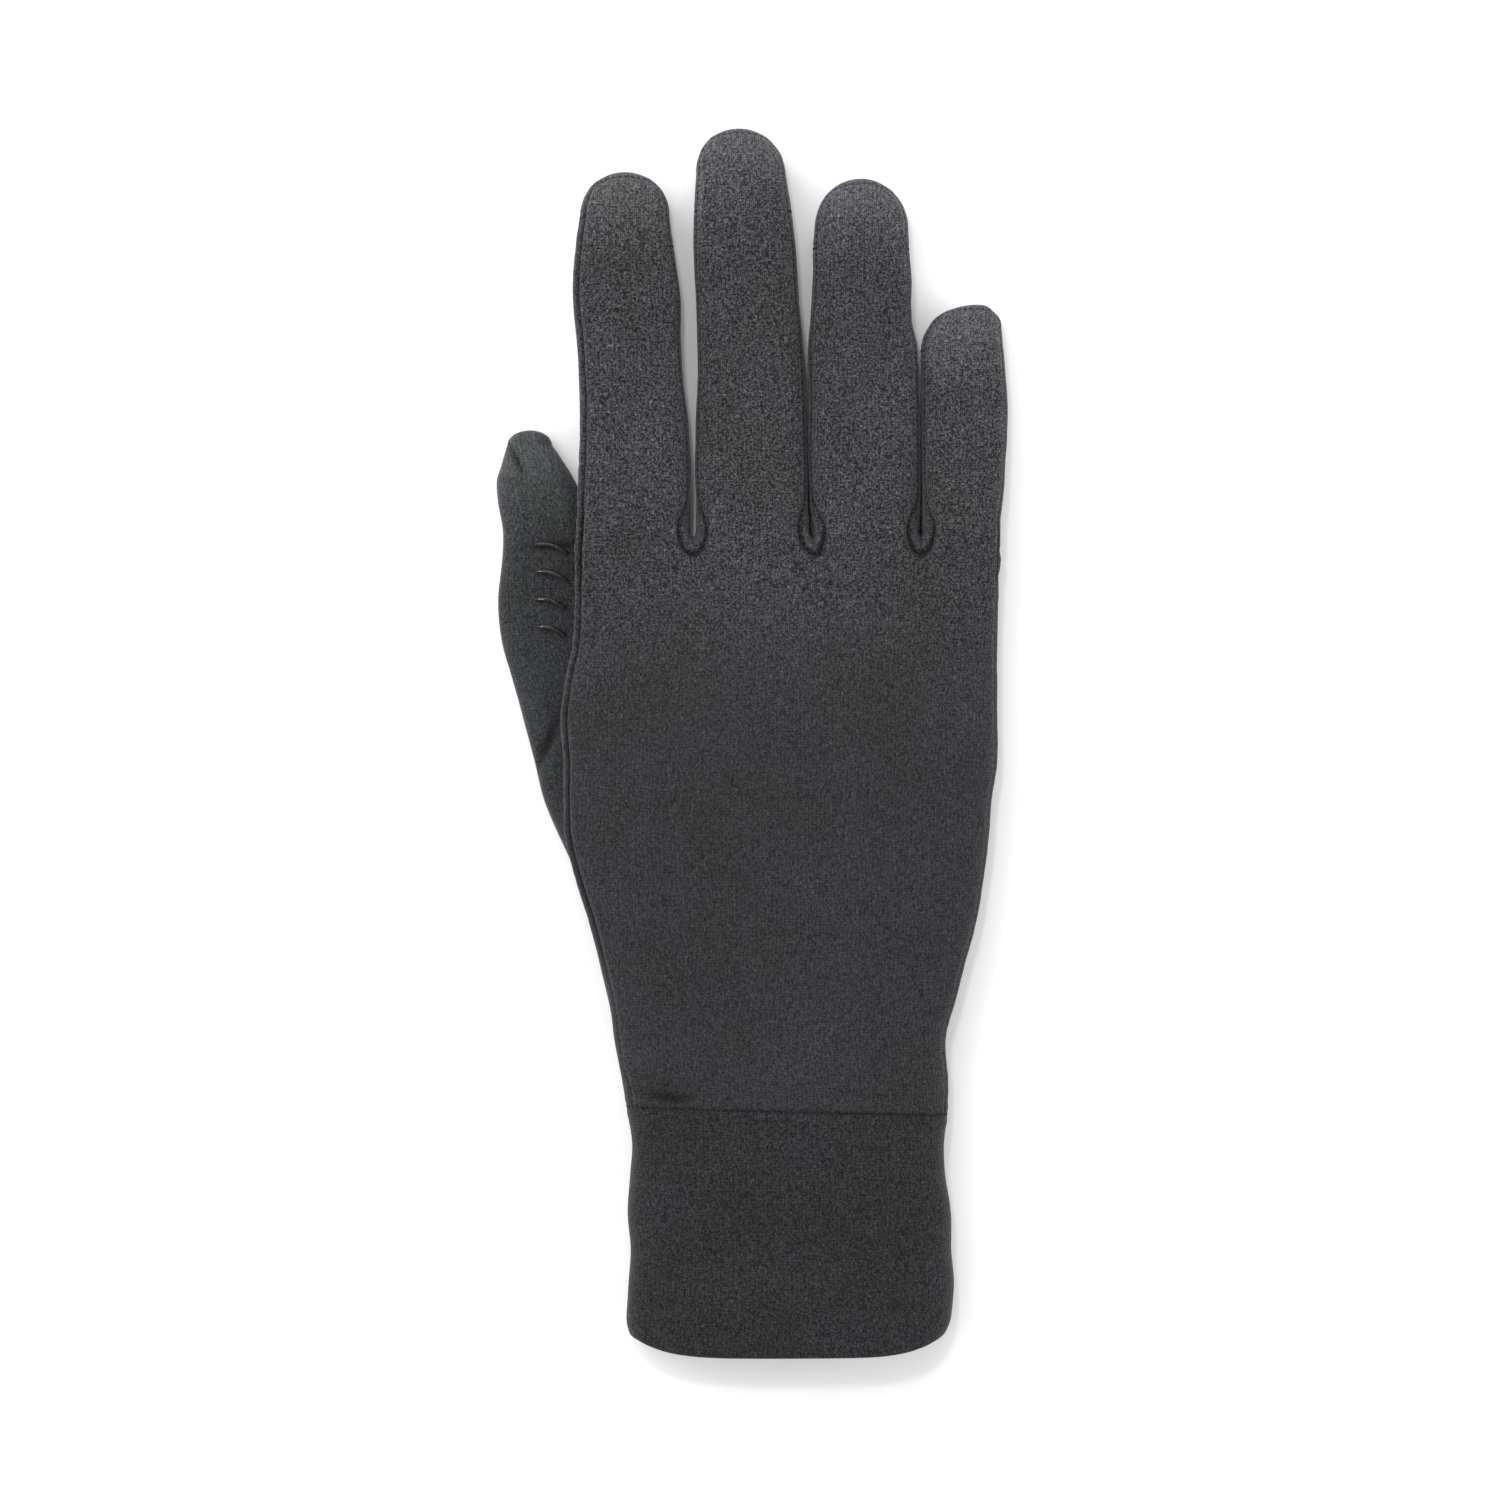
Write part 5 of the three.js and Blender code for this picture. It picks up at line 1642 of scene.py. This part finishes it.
@dataclass
class Studio:
    """Camera straight above, a pale floor and soft light from all sides."""

    frame_width: float = 0.3051
    centre: tuple[float, float] = (-0.00037, -0.00173)
    distance: float = 2.0
    sensor: float = 36.0
    subject_height: float = 0.008

    def build(self) -> None:
        """Make the camera, lights, world and floor."""
        scene = bpy.context.scene
        scene.view_settings.view_transform = "Standard"
        camera = bpy.data.cameras.new("above")
        camera.sensor_width = self.sensor
        camera.lens = (self.distance - self.subject_height) * self.sensor / self.frame_width
        camera.clip_end = 20.0
        holder = bpy.data.objects.new("above", camera)
        holder.location = (*self.centre, self.distance)
        scene.collection.objects.link(holder)
        scene.camera = holder
        self.light("key", (-0.65, 0.55, 0.8), 0.8, 6.5)
        self.light("top", (0.1, 1.0, 0.5), 0.7, 4.5)
        self.light("left_strip", (-0.95, -0.1, 0.3), 0.6, 5.0)
        self.light("right_strip", (0.95, -0.1, 0.3), 0.6, 5.5)
        self.light("spark", (-0.12, 0.35, 1.2), 0.1, 2.5)
        world = bpy.data.worlds.new("studio")
        world.use_nodes = True
        world.node_tree.nodes["Background"].inputs["Color"].default_value = (1, 1, 1, 1)
        world.node_tree.nodes["Background"].inputs["Strength"].default_value = 0.78
        scene.world = world
        self.floor()

    def light(self, name: str, place: tuple[float, float, float], size: float,
              power: float) -> None:
        """Add one soft area light that looks at the glove."""
        data = bpy.data.lights.new(name, "AREA")
        data.size = size
        data.energy = power
        lamp = bpy.data.objects.new(name, data)
        lamp.location = place
        aim = Vector((0.0, 0.0, 0.0)) - Vector(place)
        lamp.rotation_mode = "QUATERNION"
        lamp.rotation_quaternion = aim.to_track_quat("-Z", "Y")
        bpy.context.scene.collection.objects.link(lamp)

    def floor(self) -> None:
        """Lay the pale floor."""
        reach = 3.0
        mesh = bpy.data.meshes.new("floor")
        mesh.from_pydata([(-reach, -reach, 0), (reach, -reach, 0), (reach, reach, 0),
                          (-reach, reach, 0)], [], [[0, 1, 2, 3]])
        material = bpy.data.materials.new("PaleFloor")
        material.use_nodes = True
        surface = material.node_tree.nodes["Principled BSDF"]
        surface.inputs["Base Color"].default_value = (0.93, 0.93, 0.93, 1)
        surface.inputs["Roughness"].default_value = 0.9
        mesh.materials.append(material)
        piece = bpy.data.objects.new("floor", mesh)
        bpy.context.scene.collection.objects.link(piece)


BACK_KNIT = KnitFinish("BackKnit", (0.0047, 0.0047, 0.0051), (0.0405, 0.04, 0.0438))
PALM_KNIT = KnitFinish("PalmKnit", (0.0047, 0.0047, 0.0051), (0.04, 0.0395, 0.0432))
SIDE_KNIT = KnitFinish("FourchetteKnit", (0.0047, 0.0047, 0.0051), (0.04, 0.0395, 0.0432))
THUMB_KNIT = KnitFinish("ThumbKnit", (0.0045, 0.0047, 0.005), (0.0435, 0.0462, 0.0478),
                        tip_fleck=0.0, tip_light_gain=1.3, sheen=0.3)
CUFF_KNIT = KnitFinish("CuffKnit", (0.003, 0.003, 0.0031), (0.0315, 0.0312, 0.0326), wale=0.85,
                       course=0.62, fleck=0.6, tip_fleck=0.0, tip_light_gain=0.0)


@dataclass
class Glove:
    """The whole glove: skins, panels, stitches and grip lines."""

    form: HandForm = field(default_factory=HandForm)
    patterns: KnitPatterns = field(default_factory=KnitPatterns)
    # Reach and share of the painted highlight on the fingers and at the fingertips.
    tip_reach: float = 21.0
    finger_light: float = 0.2
    light_below: float = 42.0
    light_reach: float = 52.0

    def shift(self) -> Array:
        """From the form's own frame to the glove's, in mm, from the fixed model."""
        form = self.form
        heights = np.linspace(form.knuckle_y, form.fingers[form.last].tip_y, 300)
        right = max(form.finger_sides(form.last, y)[1] for y in heights)
        palm_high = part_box("palm_panel")[1]
        cuff_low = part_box("cuff")[0]
        return np.array([palm_high[0] / MM - right, cuff_low[1] / MM, 0.0])

    def tip_light_share(self, at: Array, shift: Array) -> Array:
        """Share of painted highlight at each point: none on the back, a little along the fingers, most
        at the fingertips, where the light from the top falls.
        """
        form = self.form
        fingers = smooth((at[:, 1] - form.knuckle_y - shift[1] + self.light_below)
                         / self.light_reach)
        share = np.zeros(len(at))
        for k, finger in enumerate(form.fingers):
            start, stop = finger.tip_y + shift[1] - self.tip_reach, finger.tip_y + shift[1]
            near = np.abs(at[:, 0] - finger.axis - shift[0]) < finger.width * 0.6
            rise = smooth((at[:, 1] - start) / (stop - start))
            share = np.where(near, np.maximum(share, rise), share)
        return self.finger_light * fingers + (1 - self.finger_light) * share

    def dress(self, piece: bpy.types.Object, finish: bpy.types.Material, slot: str,
              *nodes: str) -> None:
        """Give a piece its finish and its place in the model."""
        piece.data.materials.clear()
        piece.data.materials.append(finish)
        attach(piece, "root")
        if nodes:
            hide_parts(*nodes)
        log.info("%s: %d faces", piece.name, len(piece.data.polygons))

    def build_hand(self, shift: Array) -> Skin:
        """Build the panels of the hand and return their skin."""
        skin = HandSkin(self.form).lay()
        Mouth(self.form).cut(skin, self.form.thumb_thick, self.form.thumb_thick * 1.5)
        skin.close()
        skin.at = skin.at + shift
        Relief().press(skin, BACK_FOLDS)
        tip = self.tip_light_share(skin.at, shift)
        plan = ((Panel.BACK, 1.0, BACK_KNIT, "knit_back", 200.0),
                (Panel.PALM, 1.0, PALM_KNIT, "knit_palm", 204.0),
                (Panel.CUFF, 1.8, CUFF_KNIT, "knit_cuff", 50.0))
        for panel, wall, finish, slot, length in plan:
            piece = PanelCloth(panel, wall).build(skin, tip)
            self.dress(piece, finish.make(self.patterns), slot, panel.value)
        sides = SIDE_KNIT.make(self.patterns)
        for panel in FOURCHETTES:
            piece = PanelCloth(panel, 1.0).build(skin, tip)
            self.dress(piece, sides, "knit_fourchette", panel.value)
        return skin

    @staticmethod
    def strip_length(piece: bpy.types.Object) -> float:
        """Measure a fourchette up one finger and the other from the crotch.

        Args:
            piece: the fourchette.

        Returns:
            Its length in whole mm.
        """
        at = np.array([corner.co for corner in piece.data.vertices]) / MM
        crotch = at[np.argmin(at[:, 1])]
        left = at[:, 0] < crotch[0]
        return float(round(at[left, 1].max() + at[~left, 1].max() - 2 * crotch[1]))

    def build_thumb(self, shift: Array) -> None:
        """Build the thumb and its grip lines."""
        skin = ThumbSkin(self.form).lay(Mouth(self.form))
        skin.at = skin.at + shift
        Relief(wave=0.2, ripple=0.08).press(skin, THUMB_FOLDS)
        # Share of painted highlight, rising towards the thumb's tip.
        tip = smooth((skin.at[:, 1] - 38.0) / 24.0)
        piece = PanelCloth(Panel.THUMB, 1.0).build(skin, tip)
        self.dress(piece, THUMB_KNIT.make(self.patterns), "knit_thumb", Panel.THUMB.value)
        finish = GripFinish().make(self.patterns)
        ribs = GripRibs(self.form)
        for i, line in enumerate(ribs.lines, 1):
            rib = ribs.build(line, shift, f"grip_rib_{i}")
            self.dress(rib, finish, "grip", f"thumb_grip_{i}")

    def build(self) -> None:
        """Build every piece."""
        shift = self.shift()
        skin = self.build_hand(shift)
        self.build_thumb(shift)
        thread = ThreadFinish().make(self.patterns)
        stitches = SeamStitches().build(skin, thread)
        self.dress(stitches, thread, "knit_back")


def main() -> None:
    """Build the studio and the glove."""
    logging.basicConfig(level=logging.INFO, format="%(message)s")
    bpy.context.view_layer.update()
    Studio().build()
    Glove().build()


if __name__ == "__main__":
    main()
